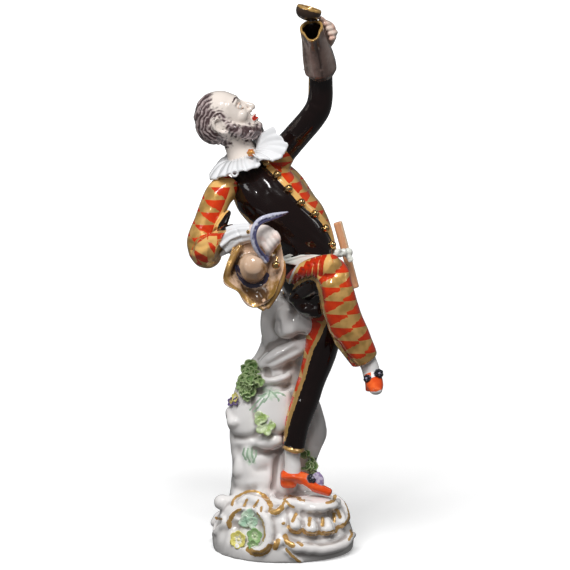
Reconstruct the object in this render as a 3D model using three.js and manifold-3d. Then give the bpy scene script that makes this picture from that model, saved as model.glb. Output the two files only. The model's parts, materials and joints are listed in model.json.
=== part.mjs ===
import * as THREE from "three";
import { mergeVertices } from "three/addons/utils/BufferGeometryUtils.js";
import Module from "manifold-3d";

// A glazed porcelain figure of a comedy player, fired in one piece with its tree stump and scrolled base.
// Millimetres, +Z up, the viewer looks along +Y. The origin is the middle of the base's underside.

const wasm = await Module();
wasm.setup();

// Driving sizes
const figureHeight = 159; // from the top of the base to the top of the jug's open lid
const baseHeight = 18;
const baseWidth = 46;
const baseDepth = 40;
const jugLength = 21;
const jugMouthRadius = 3.8;
const jugBellyRadius = 5.1;
const jugFootRadius = 3.9;
const jugWall = 0.8;
const jugFloor = 1.4;
const lidThickness = 1.1;
const handleRadius = 0.9;
const brimThickness = 1.3;
const collarThickness = 1.5;
const buttonRadius = 1.0;
const buttonCount = 7;
const sashWidth = 3.2;
const batWidth = 5.6;
const batThickness = 2.4;

// The pose and the carving are drawn for a figure of drawnHeight and are shares of the figure's own height.
const drawnHeight = 159;
const unit = figureHeight / drawnHeight;
const span = (length) => length * unit;
const at = (x, y, z) =>
  new THREE.Vector3(x, y, z)
    .multiplyScalar(unit)
    .add(new THREE.Vector3(0, 0, baseHeight));
const path = (...stops) => stops.map((stop) => at(...stop));
const towards = (x, y, z) => new THREE.Vector3(x, y, z).normalize();
const up = towards(0, 0, 1);
const viewer = towards(0, -1, 0);

// Closed forms

// Corners nearer to each other than this are one corner.
const weldDistance = 1e-4;

// A geometry's surface as a manifold solid that faces outwards.
function solid(geometry) {
  const bare = geometry.clone();
  for (const name of ["normal", "uv"]) bare.deleteAttribute(name);
  const merged = mergeVertices(bare, weldDistance);
  const make = (triangles) =>
    new wasm.Manifold(
      new wasm.Mesh({
        numProp: 3,
        vertProperties: new Float32Array(merged.attributes.position.array),
        triVerts: new Uint32Array(triangles),
      }),
    );
  const corners = Array.from(merged.index.array);
  const made = make(corners);
  return made.volume() > 0 ? made : make(corners.reverse());
}

// A closed skin of rows from pole to pole. place(row, turn) gives each corner's point.
function skin(rowCount, columns, place) {
  const geometry = new THREE.SphereGeometry(1, columns, rowCount);
  const position = geometry.attributes.position;
  for (let i = 0; i < position.count; i++) {
    const row = Math.floor(i / (columns + 1));
    const column = (i % (columns + 1)) % columns;
    const point = place(row, (2 * Math.PI * column) / columns);
    position.setXYZ(i, point.x, point.y, point.z);
  }
  return solid(geometry);
}

// A value read smoothly from an evenly spaced list, t from 0 to 1.
function along(values, t) {
  const curve = new THREE.SplineCurve(values.map((value) => new THREE.Vector2(value, 0)));
  return curve.getPoint(t).x;
}

// A value read smoothly round a closed list, turn from 0 to a full turn.
function around(values, turn) {
  const place = (turn / (2 * Math.PI)) * values.length;
  const low = Math.floor(place);
  const share = place - low;
  const eased = share * share * (3 - 2 * share);
  const value = (index) => values[index % values.length];
  return value(low) + (value(low + 1) - value(low)) * eased;
}

// Two directions square to an axis, the first one as near as it can be to the wanted one.
function across(axis, wanted) {
  const first = wanted
    .clone()
    .addScaledVector(axis, -wanted.dot(axis))
    .normalize();
  return [first, new THREE.Vector3().crossVectors(axis, first)];
}

// A tube with domed ends along a smooth line of centres. wide and deep are its half sizes at the centres,
// deep being the one towards front. ripple(t, turn) is the share that folds add to the radius.
function limb(centres, wide, options = {}) {
  const {
    deep = wide,
    front = viewer,
    sides = 10,
    steps = (centres.length - 1) * 2,
    dome = 0.6,
    capRows = 1,
    ripple = () => 0,
  } = options;
  const curve = new THREE.CatmullRomCurve3(centres);
  const rowCount = steps + 2 * capRows;
  return skin(rowCount, sides, (row, turn) => {
    const t = THREE.MathUtils.clamp((row - capRows) / steps, 0, 1);
    const axis = curve.getTangent(t);
    const [ahead, beside] = across(axis, front);
    const intoCap = Math.max(capRows - row, row - (rowCount - capRows), 0) / capRows;
    const fall = (intoCap * Math.PI) / 2;
    const swell = 1 + ripple(t, turn);
    const halfWide = span(along(wide, t)) * swell;
    const halfDeep = span(along(deep, t)) * swell;
    const rounding = span(Math.min(along(wide, t), along(deep, t))) * dome;
    const outwards = row < capRows ? -rounding : rounding;
    return curve
      .getPoint(t)
      .addScaledVector(axis, outwards * Math.sin(fall))
      .addScaledVector(ahead, halfDeep * Math.cos(fall) * Math.cos(turn))
      .addScaledVector(beside, halfWide * Math.cos(fall) * Math.sin(turn));
  });
}

// An ellipsoid whose half sizes lie along three given directions.
function egg(centre, frame, sizes, columns = 10, rowCount = 6) {
  return skin(rowCount, columns, (row, turn) => {
    const polar = (Math.PI * row) / rowCount;
    const ring = Math.sin(polar);
    return centre
      .clone()
      .addScaledVector(frame[0], span(sizes[0]) * ring * Math.cos(turn))
      .addScaledVector(frame[1], span(sizes[1]) * ring * Math.sin(turn))
      .addScaledVector(frame[2], span(sizes[2]) * Math.cos(polar));
  });
}

// A thin closed sheet of polar outline, domed by rise(share, turn) along its normal, with a rounded edge.
function disc(centre, frame, reach, rise, thickness, columns, rings) {
  const rowCount = 2 * rings + 1;
  return skin(rowCount, columns, (row, turn) => {
    const above = row <= rings;
    const share = (above ? row : rowCount - row) / rings;
    const radius = reach(turn) * share;
    const height = rise(share, turn) + (above ? thickness / 2 : -thickness / 2);
    return centre
      .clone()
      .addScaledVector(frame[0], radius * Math.cos(turn))
      .addScaledVector(frame[1], radius * Math.sin(turn))
      .addScaledVector(frame[2], height);
  });
}

const join = (pieces) => wasm.Manifold.union(pieces);
const worldFrame = [towards(1, 0, 0), towards(0, 1, 0), up];

// Base

// The base's half width and half depth as shares of the full ones, at evenly spaced heights.
const wallShares = [0.985, 1.0, 1.0, 0.97, 0.935, 0.905, 0.87, 0.79, 0.6];
const straightFoot = 1.2;

// A point on the base's wall: degrees round from the front, a share of its height, and how far it stands out.
function onBase(degrees, share, out = 0) {
  const angle = THREE.MathUtils.degToRad(degrees);
  const reach = along(wallShares, Math.min(share, 1));
  return new THREE.Vector3(
    ((baseWidth / 2) * reach + out) * Math.sin(angle),
    -((baseDepth / 2) * reach + out) * Math.cos(angle),
    baseHeight * share,
  );
}

function mound() {
  const columns = 18;
  const wallRows = 5;
  const rowCount = wallRows + 2;
  const topShare = 1.03;
  return skin(rowCount, columns, (row, turn) => {
    if (row === 0) return new THREE.Vector3(0, 0, 0);
    if (row === rowCount) return new THREE.Vector3(0, 0, baseHeight * topShare);
    const climb = (row - 1) / (wallRows - 1);
    const share = row === 1 ? 0 : THREE.MathUtils.clamp(climb, straightFoot / baseHeight, 1);
    const lumps = 0.35 * Math.sin(5 * turn + 1) + 0.25 * Math.sin(9 * turn);
    const standOut = row < 3 ? 0 : lumps * Math.sin(Math.PI * share);
    return onBase(THREE.MathUtils.radToDeg(turn), share, standOut);
  });
}

// A scroll that creeps over the base's wall: stops are [degrees, height share, stand-out, radius].
function scroll(stops, sides = 5) {
  const centres = stops.map(([degrees, share, out]) => onBase(degrees, share, out));
  const radii = stops.map((stop) => stop[3]);
  return limb(centres, radii, { sides, steps: stops.length - 1, front: up });
}

function scrolls() {
  const arch = [
    [-66, 0.88, 0.4, 0.9],
    [-57, 1.04, 0.3, 1.2],
    [-43, 1.1, 1.0, 1.4],
    [-28, 1.09, 1.6, 1.5],
    [-16, 0.98, 1.4, 1.3],
  ];
  const archBand = [
    [-34, 1.16, -1.6, 1.4],
    [-15, 1.12, 0.2, 1.7],
    [-1, 1.03, 1.0, 1.6],
    [0, 0.91, 1.3, 1.5],
    [-10, 0.87, 1.3, 1.4],
  ];
  const recessRing = [
    [-53, 0.6, 0.5, 1.0],
    [-53, 0.78, 0.6, 1.1],
    [-44, 0.89, 0.5, 1.2],
    [-27, 0.87, 0.8, 1.3],
    [-15, 0.72, 1.1, 1.5],
    [-12, 0.48, 1.2, 1.6],
    [-14, 0.27, 1.0, 1.5],
    [-21, 0.17, 0.9, 1.4],
    [-29, 0.2, 0.8, 1.1],
  ];
  const sideCurl = [
    [-57, 0.76, 0, 0.8],
    [-67, 0.56, 0.5, 1.2],
    [-74, 0.36, 0.4, 0.9],
  ];
  const cushion = [
    [3, 0.99, 0.4, 1.3],
    [12, 0.95, 1.2, 2.3],
    [26, 0.92, 1.6, 2.9],
    [42, 0.91, 1.6, 2.8],
    [57, 0.94, 0.9, 2.2],
    [69, 1.0, 0, 1.3],
  ];
  const outerRim = [
    [62, 1.04, -1.2, 1.2],
    [80, 0.97, -0.2, 1.4],
    [93, 0.82, 0, 1.4],
    [88, 0.63, 0.1, 1.2],
    [73, 0.56, 0.6, 1.0],
  ];
  const crescent = [
    [2, 0.5, 0.3, 0.8],
    [6, 0.35, 0.8, 1.4],
    [17, 0.25, 0.9, 1.9],
    [32, 0.24, 0.9, 2.0],
    [48, 0.27, 0.9, 1.9],
    [66, 0.34, 0.5, 1.5],
    [78, 0.44, 0.1, 0.9],
  ];
  const footScroll = [
    [1, 0.3, 0.2, 0.7],
    [7, 0.13, 0.4, 0.9],
    [22, 0.05, 0, 0.8],
  ];
  const backArch = [
    [118, 0.3, 0.2, 1.2],
    [132, 0.7, 0.6, 1.6],
    [165, 0.92, 0.6, 1.8],
    [198, 0.7, 0.6, 1.6],
    [207, 0.35, 0.3, 1.2],
  ];
  const backFoot = [
    [228, 0.2, 0.2, 1.0],
    [245, 0.5, 0.5, 1.5],
    [262, 0.4, 0.3, 1.1],
  ];
  const front = [arch, archBand, recessRing, sideCurl, cushion, outerRim, crescent, footScroll];
  return [...front.map((stops) => scroll(stops)), scroll(backArch, 4), scroll(backFoot, 4)];
}

// The shell's lower edge: a row of round lobes under fluted ribs.
function shellLobes() {
  return [10, 26, 42, 58].map((degrees) =>
    scroll([[degrees, 0.82, -0.4, 1.3], [degrees, 0.66, 0.3, 2.0], [degrees, 0.53, 0.8, 2.1]]),
  );
}

function baseOrnaments() {
  const knob = egg(at(-19.9, -2.4, -2.2), worldFrame, [2.7, 2.7, 2.5], 8, 6);
  const knobArm = limb(path([-19.6, -2.4, -2.3], [-13, -3, -2.4]), [2.0, 2.6], { sides: 6, steps: 1 });
  const pad = egg(at(8.6, -9.0, -1.4), worldFrame, [9.4, 6.8, 2.6], 10, 4);
  const curlEnd = egg(onBase(-11, 0.87, 1.3), worldFrame, [1.9, 1.6, 1.6], 6, 4);
  const bead = egg(onBase(0, 0.71, 0.2), worldFrame, [1.0, 0.9, 0.9], 5, 4);
  const drop = egg(onBase(-4, 0.4, 0.4), worldFrame, [1.3, 1.1, 2.4], 6, 4);
  return [knob, knobArm, pad, curlEnd, bead, drop];
}

// How deep a flower's root reaches into what it lies on
const rootDepth = 3.4;

// Petals or leaf lobes fanned out from one point, drawn to a root behind them.
function blossom(centre, normal, radius, lobes, thickness) {
  const frame = [...across(normal, up), normal];
  const columns = lobes * 2;
  return skin(3, columns, (row, turn) => {
    const inside = row === 0 || row === 3;
    const tip = 0.76 + 0.24 * Math.cos(lobes * turn);
    const reach = inside ? 0 : span(radius) * tip * (row === 1 ? 1 : 0.8);
    const height = [0.3, 0.4 * radius, 0.4 * radius - thickness, -rootDepth][row];
    return centre
      .clone()
      .addScaledVector(frame[0], reach * Math.cos(turn))
      .addScaledVector(frame[1], reach * Math.sin(turn))
      .addScaledVector(frame[2], span(height));
  });
}

function plants() {
  const frontLeft = towards(-0.55, -0.8, 0.25);
  return [
    blossom(onBase(-31, 0.72, 0.3), frontLeft, 3.6, 3, 1.4),
    blossom(onBase(-40, 0.4, 0.6), frontLeft, 2.9, 5, 1.4),
    blossom(onBase(-26, 0.44, 0.7), frontLeft, 2.6, 4, 1.4),
    blossom(at(-10.8, -3.5, 38.2), towards(-0.6, -0.75, 0.3), 3.8, 4, 1.6),
    blossom(at(-13.2, -1.2, 34.6), towards(-0.8, -0.55, 0.3), 3.2, 3, 1.6),
    blossom(at(-16.0, -0.6, 31.0), towards(-0.85, -0.5, 0.2), 2.3, 5, 1.4),
    blossom(at(-6.6, -6.6, 27.2), towards(-0.1, -1, 0.2), 3.4, 3, 1.4),
    blossom(at(7.6, 1.4, 13.0), towards(0.6, -0.75, 0.3), 2.3, 4, 1.8),
    blossom(at(9.8, 1.8, 9.4), towards(0.6, -0.75, 0.3), 2.6, 4, 1.8),
  ];
}

// Tree stump that carries the player

const kneeUp = towards(0.25, -0.3, 0.9);
const [kneeTurn, kneeSide] = across(kneeUp, towards(1, -0.3, 0));

function stump() {
  const bumps = (t, turn) => {
    const broad = 0.07 * Math.sin(3 * turn + 9 * t);
    const middling = 0.05 * Math.sin(5 * turn - 16 * t + 1);
    const rings = 0.04 * Math.sin(25 * t + turn);
    return broad + middling + rings;
  };
  const trunk = limb(
    path(
      [-4.6, 2.4, -4],
      [-4.4, 2.4, 6],
      [-4.4, 2.6, 15],
      [-6.4, 2.8, 24],
      [-6.0, 3.4, 33],
      [-2.0, 4, 41],
      [0.6, 4.4, 50],
      [4.0, 3.6, 61],
    ),
    [13, 11.6, 12.2, 11.8, 9.2, 7.4, 6.6, 8.0],
    { deep: [9.5, 8.4, 8, 8.2, 8, 7.4, 7.0, 7.6], sides: 10, steps: 9, ripple: bumps },
  );
  const behind = limb(
    path([6, 6.5, -3], [6.4, 6.5, 9], [8.8, 6, 20], [6.4, 6, 31], [2, 6, 42]),
    [5.6, 4.4, 5.2, 4.8, 5],
    { sides: 7, steps: 5, ripple: bumps },
  );
  const knees = [
    [[-12.8, 0.2, 24.4], [5.6, 6.0, 4.8]],
    [[-0.8, -1.4, 36.4], [6.4, 3.2, 4.4]],
    [[1.6, -0.2, 52.6], [5.0, 3.2, 6.0]],
    [[-10.4, -2.0, 9.6], [5.2, 4.2, 4.6]],
    [[-9.5, 8.0, 30.0], [6.0, 4.6, 8.0]],
    [[-1.0, 8.6, 49.0], [6.0, 3.8, 8.5]],
  ].map(([centre, sizes]) => egg(at(...centre), [kneeTurn, kneeSide, kneeUp], sizes, 6, 4));
  return [trunk, behind, ...knees];
}

// Legs and seat

function standingLeg() {
  const trousers = limb(
    path(
      [8.5, -0.5, 68],
      [10.6, -2.6, 58],
      [11.4, -4, 48.6],
      [8.6, -5, 38.6],
      [6.4, -5.5, 31.6],
      [4.4, -6, 25],
      [2.9, -6, 17.4],
    ),
    [8.6, 6.6, 5.4, 4.2, 4.2, 4.0, 3.6],
    { front: towards(1, -0.2, 0), deep: [8.2, 6.4, 5.2, 4.3, 4.3, 4.1, 3.7], sides: 8, steps: 7, dome: 0.15 },
  );
  const shin = path([2.9, -6, 18.4], [3.0, -6, 13.6], [3.1, -6.1, 8.4]);
  const stocking = limb(shin, [2.9, 2.6, 3.1], { sides: 8 });
  return [trousers, stocking];
}

function raisedLeg() {
  const trousers = limb(
    path(
      [6.6, 3.2, 67.4],
      [10.6, -6, 70.2],
      [14.6, -14.5, 75],
      [16.3, -19.4, 71.8],
      [18.4, -19.2, 63.4],
      [21.3, -18, 56],
      [24.2, -17, 50.6],
      [25.7, -16.5, 47.8],
    ),
    [9.6, 8.8, 6.4, 5.5, 5.7, 5.7, 5.0, 4.4],
    { front: towards(0.9, -0.3, 0.5), sides: 9, steps: 11, dome: 0.2 },
  );
  const shin = path([25.4, -16.5, 49.4], [27.3, -16.5, 45.6], [28.3, -17, 42.4]);
  const stocking = limb(shin, [3.0, 2.9, 2.9], { sides: 8 });
  return [trousers, stocking];
}

// A heeled shoe. heel, ball and toe are its centres, and sole is the direction under the foot.
function shoe(heel, ball, toe, sole) {
  const upper = limb([heel, heel.clone().lerp(ball, 0.5), ball, toe], [2.9, 2.8, 2.7, 1.7], {
    front: sole,
    deep: [3.0, 2.9, 2.2, 1.3],
    sides: 7,
    steps: 3,
  });
  const under = heel.clone().addScaledVector(sole, span(2.2));
  const block = limb([under, under.clone().addScaledVector(sole, span(3.1))], [2.2, 2.0], {
    sides: 6,
    steps: 1,
    dome: 0.1,
  });
  const knot = heel.clone().lerp(ball, 0.75).addScaledVector(sole, span(-2.6));
  const rosette = egg(knot, worldFrame, [1.9, 1.9, 1.6], 6, 4);
  return [upper, block, rosette];
}

function seat() {
  return limb(
    path([6.4, 1.5, 62], [7.6, 0.5, 69], [8.4, 0.4, 76], [8.0, 1, 82]),
    [9.2, 10.2, 9.4, 8.6],
    { deep: [8.2, 8.8, 8.0, 7.6], front: towards(0.77, -0.64, 0), steps: 3 },
  );
}

// Jacket, sash and the things tucked in it

const waistFront = towards(0.76, -0.65, 0);
const torsoFront = towards(0.7, -0.7, 0.1);
const spine = path(
  [7.9, 0, 74],
  [8.7, 0, 78],
  [5.9, 1.2, 85],
  [0.2, 3.4, 93],
  [-5.4, 5.4, 99.5],
  [-8.8, 6.8, 104.6],
  [-11.4, 7.8, 109],
);
const torsoWide = [9.6, 9.2, 10.4, 12.2, 12.6, 10.2, 4.8];
const torsoDeep = [8.4, 8.0, 9.2, 10.2, 9.4, 6.6, 4.2];
const torsoCurve = new THREE.CatmullRomCurve3(spine);

// A point on the torso: t from the hips to the throat, turn from the middle of the front to the left side.
function onTorso(t, turn, out = 0) {
  const [ahead, beside] = across(torsoCurve.getTangent(t), torsoFront);
  return torsoCurve
    .getPoint(t)
    .addScaledVector(ahead, (span(along(torsoDeep, t)) + out) * Math.cos(turn))
    .addScaledVector(beside, (span(along(torsoWide, t)) + out) * Math.sin(turn));
}

function jacket() {
  return limb(spine, torsoWide, {
    deep: torsoDeep,
    front: torsoFront,
    sides: 12,
    steps: 6,
    dome: 0.3,
  });
}

// Buttons down the jacket's front from the throat to the sash.
function buttons() {
  const highest = { t: 0.86, turn: -0.44 };
  const lowest = { t: 0.14, turn: 0.1 };
  const halfSizes = [1, 1, 1].map((size) => (size * buttonRadius) / unit);
  const made = [];
  for (let i = 0; i < buttonCount; i++) {
    const share = i / (buttonCount - 1);
    const t = THREE.MathUtils.lerp(highest.t, lowest.t, share);
    const turn = THREE.MathUtils.lerp(highest.turn, lowest.turn, share);
    made.push(egg(onTorso(t, turn, buttonRadius * 0.2), worldFrame, halfSizes, 5, 3));
  }
  return made;
}

function sash() {
  const band = limb([at(8.2, 0.2, 76.2), at(8.6, 0.2, 76.2 + sashWidth / unit)], [9.9, 9.4], {
    deep: [8.9, 8.4],
    front: waistFront,
    sides: 12,
    steps: 1,
    dome: 0.1,
  });
  const knot = egg(at(17.6, 2.4, 79.2), worldFrame, [4.2, 3.0, 2.2], 6, 4);
  return [band, knot];
}

// The flat wooden bat that hangs from the sash behind the hip.
function bat() {
  const sideways = towards(1, 0.35, 0.3);
  const centres = path([17.2, 5.2, 88.2], [19.9, 4.6, 77.6], [22.8, 4.2, 67]);
  const everywhere = (size) => centres.map(() => size / unit);
  return limb(centres, everywhere(batWidth / 2), {
    deep: everywhere(batThickness / 2),
    front: new THREE.Vector3().crossVectors(sideways, up),
    sides: 8,
    steps: 2,
    dome: 0.1,
  });
}

// Arms and hands

function lowArm() {
  const sleeve = limb(
    path(
      [-15.5, 2, 101],
      [-20.6, -1.6, 97],
      [-23.8, -4.6, 89.6],
      [-25.7, -6.4, 83.6],
      [-24.4, -8.4, 79.8],
      [-21.2, -11, 81.8],
      [-17.7, -13.6, 84.6],
    ),
    [5.4, 4.8, 4.3, 4.7, 4.9, 4.6, 4.5],
    { sides: 8, steps: 8, dome: 0.2 },
  );
  const frill = ruffle(at(-17.4, -13.8, 85.2), at(-10.8, -14.8, 87.8), 4.9, 2.6);
  const palmPath = path([-12, -14.4, 87.2], [-8.8, -14.4, 86.4], [-6.4, -14.4, 84]);
  const palm = limb(palmPath, [2.2, 2.7, 2.2], { sides: 6, steps: 2 });
  const fingers = [0, 1, 2, 3].map((i) => {
    const knuckle = at(-7.4 + 0.9 * i, -14.6, 85.6 - 0.4 * i);
    const middle = at(-6 + 0.8 * i, -14.8, 82.4);
    const tip = at(-6.4 + 0.8 * i, -15.4, 79.6);
    return limb([knuckle, middle, tip], [0.95, 0.9, 0.75], { sides: 5, steps: 2 });
  });
  return [sleeve, frill, palm, ...fingers];
}

// A fluted linen cuff, wide where it meets the sleeve and narrow at the wrist.
function ruffle(wideEnd, narrowEnd, wideRadius, narrowRadius) {
  const flutes = 6;
  const centres = [wideEnd, wideEnd.clone().lerp(narrowEnd, 0.5), narrowEnd];
  const radii = [wideRadius, (wideRadius + narrowRadius) / 2, narrowRadius];
  return limb(centres, radii, {
    sides: flutes * 2,
    steps: 2,
    dome: 0.1,
    ripple: (t, turn) => 0.09 * (1 - t) * Math.cos(flutes * turn),
  });
}

function highArm() {
  const sleeve = limb(
    path(
      [-5.4, 7.6, 101.6],
      [-1.2, 7.6, 108.6],
      [2.7, 5.4, 114.6],
      [7.6, 2, 120.8],
      [11.4, 0.4, 127.4],
      [12.1, 0.6, 133.2],
      [12.3, 1, 137.4],
    ),
    [6.4, 5.0, 4.4, 4.5, 4.2, 3.9, 3.8],
    { sides: 8, steps: 8, dome: 0.2 },
  );
  const frill = ruffle(at(12.6, 1.0, 136.8), at(13.2, 0.8, 141.6), 5.0, 2.4);
  const palmPath = path([13.2, 0.6, 140], [14.2, -0.6, 144.6], [14.4, -3.4, 149.4], [12.8, -5, 152.8]);
  const palm = limb(palmPath, [2.3, 2.8, 3.0, 2.0], {
    deep: [2.0, 2.3, 2.5, 1.6],
    sides: 8,
    steps: 5,
  });
  const fingers = [0, 1, 2, 3].map((i) => {
    const knuckle = at(16.0 - 0.1 * i, -4.0 + 0.6 * i, 150.9 - 1.9 * i);
    const middle = at(15.6 - 0.1 * i, -6.4 + 0.7 * i, 151.3 - 1.9 * i);
    const tip = at(13.2, -7.4 + 0.8 * i, 151.0 - 1.9 * i);
    return limb([knuckle, middle, tip], [1.15, 1.15, 0.9], { sides: 5, steps: 2 });
  });
  const thumbPath = path([13.6, -3.6, 151], [12.4, -5, 153.6], [11.2, -6.6, 154.6]);
  const thumb = limb(thumbPath, [1.3, 1.1, 0.8], { sides: 5, steps: 2 });
  return [sleeve, frill, palm, ...fingers, thumb];
}

// Jug held up by its handle, its lid thrown open

const jugAxis = towards(-0.16, -0.54, 0.82);
const jugFoot = at(12.4, -0.6, 135.3);
const jugSide = across(jugAxis, up);
const onJug = (height, radius, turn) =>
  jugFoot
    .clone()
    .addScaledVector(jugAxis, height)
    .addScaledVector(jugSide[0], radius * Math.cos(turn))
    .addScaledVector(jugSide[1], radius * Math.sin(turn));

// The jug's outside radius at evenly spaced heights
const jugRadii = [
  jugFootRadius,
  jugBellyRadius * 0.99,
  jugBellyRadius * 0.98,
  jugBellyRadius * 0.9,
  jugMouthRadius * 1.1,
  jugMouthRadius,
];

// How far the pouring lip stands out, on the side that faces down and over the jug's top third.
function lip(share, turn) {
  const sideways = Math.max(0, -Math.cos(turn)) ** 5;
  const upwards = Math.max(0, share * 2.5 - 1.5);
  return jugMouthRadius * 0.5 * sideways * upwards;
}

function jugBody(thinner, fromHeight, toHeight) {
  const rowsUp = 5;
  return skin(rowsUp + 2, 12, (row, turn) => {
    if (row === 0) return onJug(fromHeight, 0, 0);
    if (row === rowsUp + 2) return onJug(toHeight, 0, 0);
    const height = fromHeight + ((toHeight - fromHeight) * (row - 1)) / rowsUp;
    const share = Math.min(height / jugLength, 1);
    return onJug(height, along(jugRadii, share) + lip(share, turn) - thinner, turn);
  });
}

function jug() {
  const outside = jugBody(0, 0, jugLength);
  const inside = jugBody(jugWall, jugFloor, jugLength + jugWall);
  const handle = limb(
    [
      onJug(jugLength * 0.92, jugMouthRadius - jugWall / 2, 0.5),
      onJug(jugLength * 0.9, jugMouthRadius * 1.9, 0.6),
      onJug(jugLength * 0.6, jugMouthRadius * 2.0, 0.6),
      onJug(jugLength * 0.3, jugBellyRadius - jugWall / 2, 0.5),
    ],
    [1, 1, 1, 1].map(() => handleRadius / unit),
    { sides: 5, steps: 5 },
  );
  const hingeRoot = onJug(jugLength * 0.93, jugMouthRadius - jugWall / 2, 0);
  const hinge = limb([hingeRoot, lidRoot], [1.3, 1.2], { sides: 6, steps: 1 });
  return { body: join([outside, handle, hinge]).subtract(inside), lid: jugLid() };
}

// The lid is a shallow cap thrown back past upright, so that its rim lies on top and its dome hangs down.
const lidNormal = towards(0.26, -0.3, 0.92);
const lidCentre = at(8.0, -9.6, 157.6);
const lidRoot = at(9.6, -8.2, 155.6);
const lidRadius = jugMouthRadius * 1.05;
const lidDepth = 3.0;

function jugLid() {
  const frame = across(lidNormal, towards(-1, -0.35, 0.3));
  const reach = [0, lidRadius - lidThickness, lidRadius, lidRadius * 0.86, 0];
  const height = [-lidThickness, 0.2, 0, -lidDepth * 0.66, -lidDepth];
  return skin(4, 12, (row, turn) =>
    lidCentre
      .clone()
      .addScaledVector(frame[0], reach[row] * Math.cos(turn))
      .addScaledVector(frame[1], reach[row] * Math.sin(turn))
      .addScaledVector(lidNormal, height[row]),
  );
}

// Head

const headUp = towards(-0.66, 0, 0.75);
const faceFront = towards(0.75, 0, 0.66);
const headSide = towards(0, -1, 0); // towards the player's right ear
const headFrame = [faceFront, headSide, headUp];
const headCentre = at(-18.9, 8, 121.3);
const onHead = (front, side, above) =>
  headCentre
    .clone()
    .addScaledVector(faceFront, span(front))
    .addScaledVector(headSide, span(side))
    .addScaledVector(headUp, span(above));

function head() {
  const skull = egg(onHead(-0.6, 0, 1.8), headFrame, [8.2, 6.9, 7.7], 10, 6);
  const face = limb([onHead(2.6, 0, 2), onHead(3.0, 0, -3), onHead(3.8, 0, -7.6)], [6.2, 5.6, 3.9], {
    deep: [5.6, 5.0, 3.6],
    front: faceFront,
    sides: 10,
    steps: 3,
  });
  const nose = limb([onHead(7.4, 0, 1.2), onHead(8.6, 0, -1.6), onHead(9.4, 0, -4.0)], [0.9, 1.1, 1.5], {
    deep: [0.8, 1.1, 1.2],
    front: faceFront,
    sides: 6,
    steps: 3,
  });
  const browPath = [onHead(6.6, -4.2, 0.9), onHead(7.6, 0, 1.8), onHead(6.6, 4.2, 0.9)];
  const brow = limb(browPath, [0.9, 1.0, 0.9], { sides: 6, steps: 3 });
  const lipsPath = [onHead(7.1, -1.9, -6.2), onHead(8.0, 0, -6.2), onHead(7.1, 1.9, -6.2)];
  const lips = limb(lipsPath, [0.6, 0.9, 0.6], { sides: 6, steps: 3 });
  const ears = [-1, 1].map((side) => {
    const outwards = towards(-0.3, 0, 0.1).addScaledVector(headSide, side).normalize();
    return egg(onHead(-1.6, 7.0 * side, -0.6), [faceFront, outwards, headUp], [1.7, 0.9, 2.9], 6, 4);
  });
  const neckPath = path([-12.2, 8, 107], [-14.2, 8, 112.4], [-16.6, 8, 117.6]);
  const neck = limb(neckPath, [4.9, 4.1, 4.6], { sides: 9, steps: 2 });
  return [skull, face, nose, brow, lips, ...ears, neck, hair(), beard()];
}

// Curly hair round the back and sides of the head, leaving the crown bald.
function hair() {
  const columns = 12;
  const rowCount = 8;
  const curlHeight = 0.07;
  const [middleFront, middleAbove] = [-2.0, -0.2];
  const [halfWide, halfHigh] = [7.6, 6.8];
  return skin(rowCount, columns, (row, turn) => {
    const polar = (Math.PI * row) / rowCount;
    const curl = row > 1 ? curlHeight * Math.cos((columns / 2) * turn) * (row % 2 ? 1 : -1) : 0;
    const reach = halfWide * Math.sin(polar) * (1 + curl);
    const above = middleAbove + halfHigh * Math.cos(polar);
    return onHead(middleFront + reach * Math.cos(turn), reach * Math.sin(turn), above);
  });
}

// A full curly beard along the jaw from ear to ear, deepest at the chin.
function beard() {
  const jaw = [
    onHead(-0.4, -6.2, -1.6),
    onHead(1.6, -5.6, -6.0),
    onHead(4.2, -3.0, -8.6),
    onHead(5.2, 0, -9.4),
    onHead(4.2, 3.0, -8.6),
    onHead(1.6, 5.6, -6.0),
    onHead(-0.4, 6.2, -1.6),
  ];
  return limb(jaw, [1.5, 2.3, 2.4, 2.5, 2.4, 2.3, 1.5], {
    front: faceFront,
    sides: 8,
    steps: 9,
    ripple: (t, turn) => 0.13 * Math.cos(4 * turn) * Math.cos(9 * Math.PI * t),
  });
}

// Pleated collar in two lobes, over the lowered shoulder and up beside the raised arm.
const collarRoot = at(-12.6, 7.6, 109.2);
const collarUp = towards(-0.38, -0.1, 0.92);
const loweredLobe = path(
  [-8.6, -6, 110.2],
  [-6.9, -5, 108.0],
  [-10.3, -7.5, 106.7],
  [-13.5, -8.0, 106.2],
  [-17.3, -7.0, 105.0],
  [-20.6, -4.4, 103.6],
  [-22.6, 0, 103.0],
  [-22.4, 6, 104.2],
  [-20.0, 12, 105.8],
);
const raisedLobe = path(
  [-16.5, 15.5, 107.6],
  [-12.4, 16, 109.6],
  [-8.6, 13, 113.0],
  [-6.0, 7, 116.8],
  [-3.3, 3, 118.8],
  [-0.5, 0.6, 117.4],
  [1.4, -1.4, 114.5],
  [1.1, -2.4, 112.0],
  [-0.8, -3.4, 109.6],
  [-4.8, -5, 109.4],
);

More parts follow.
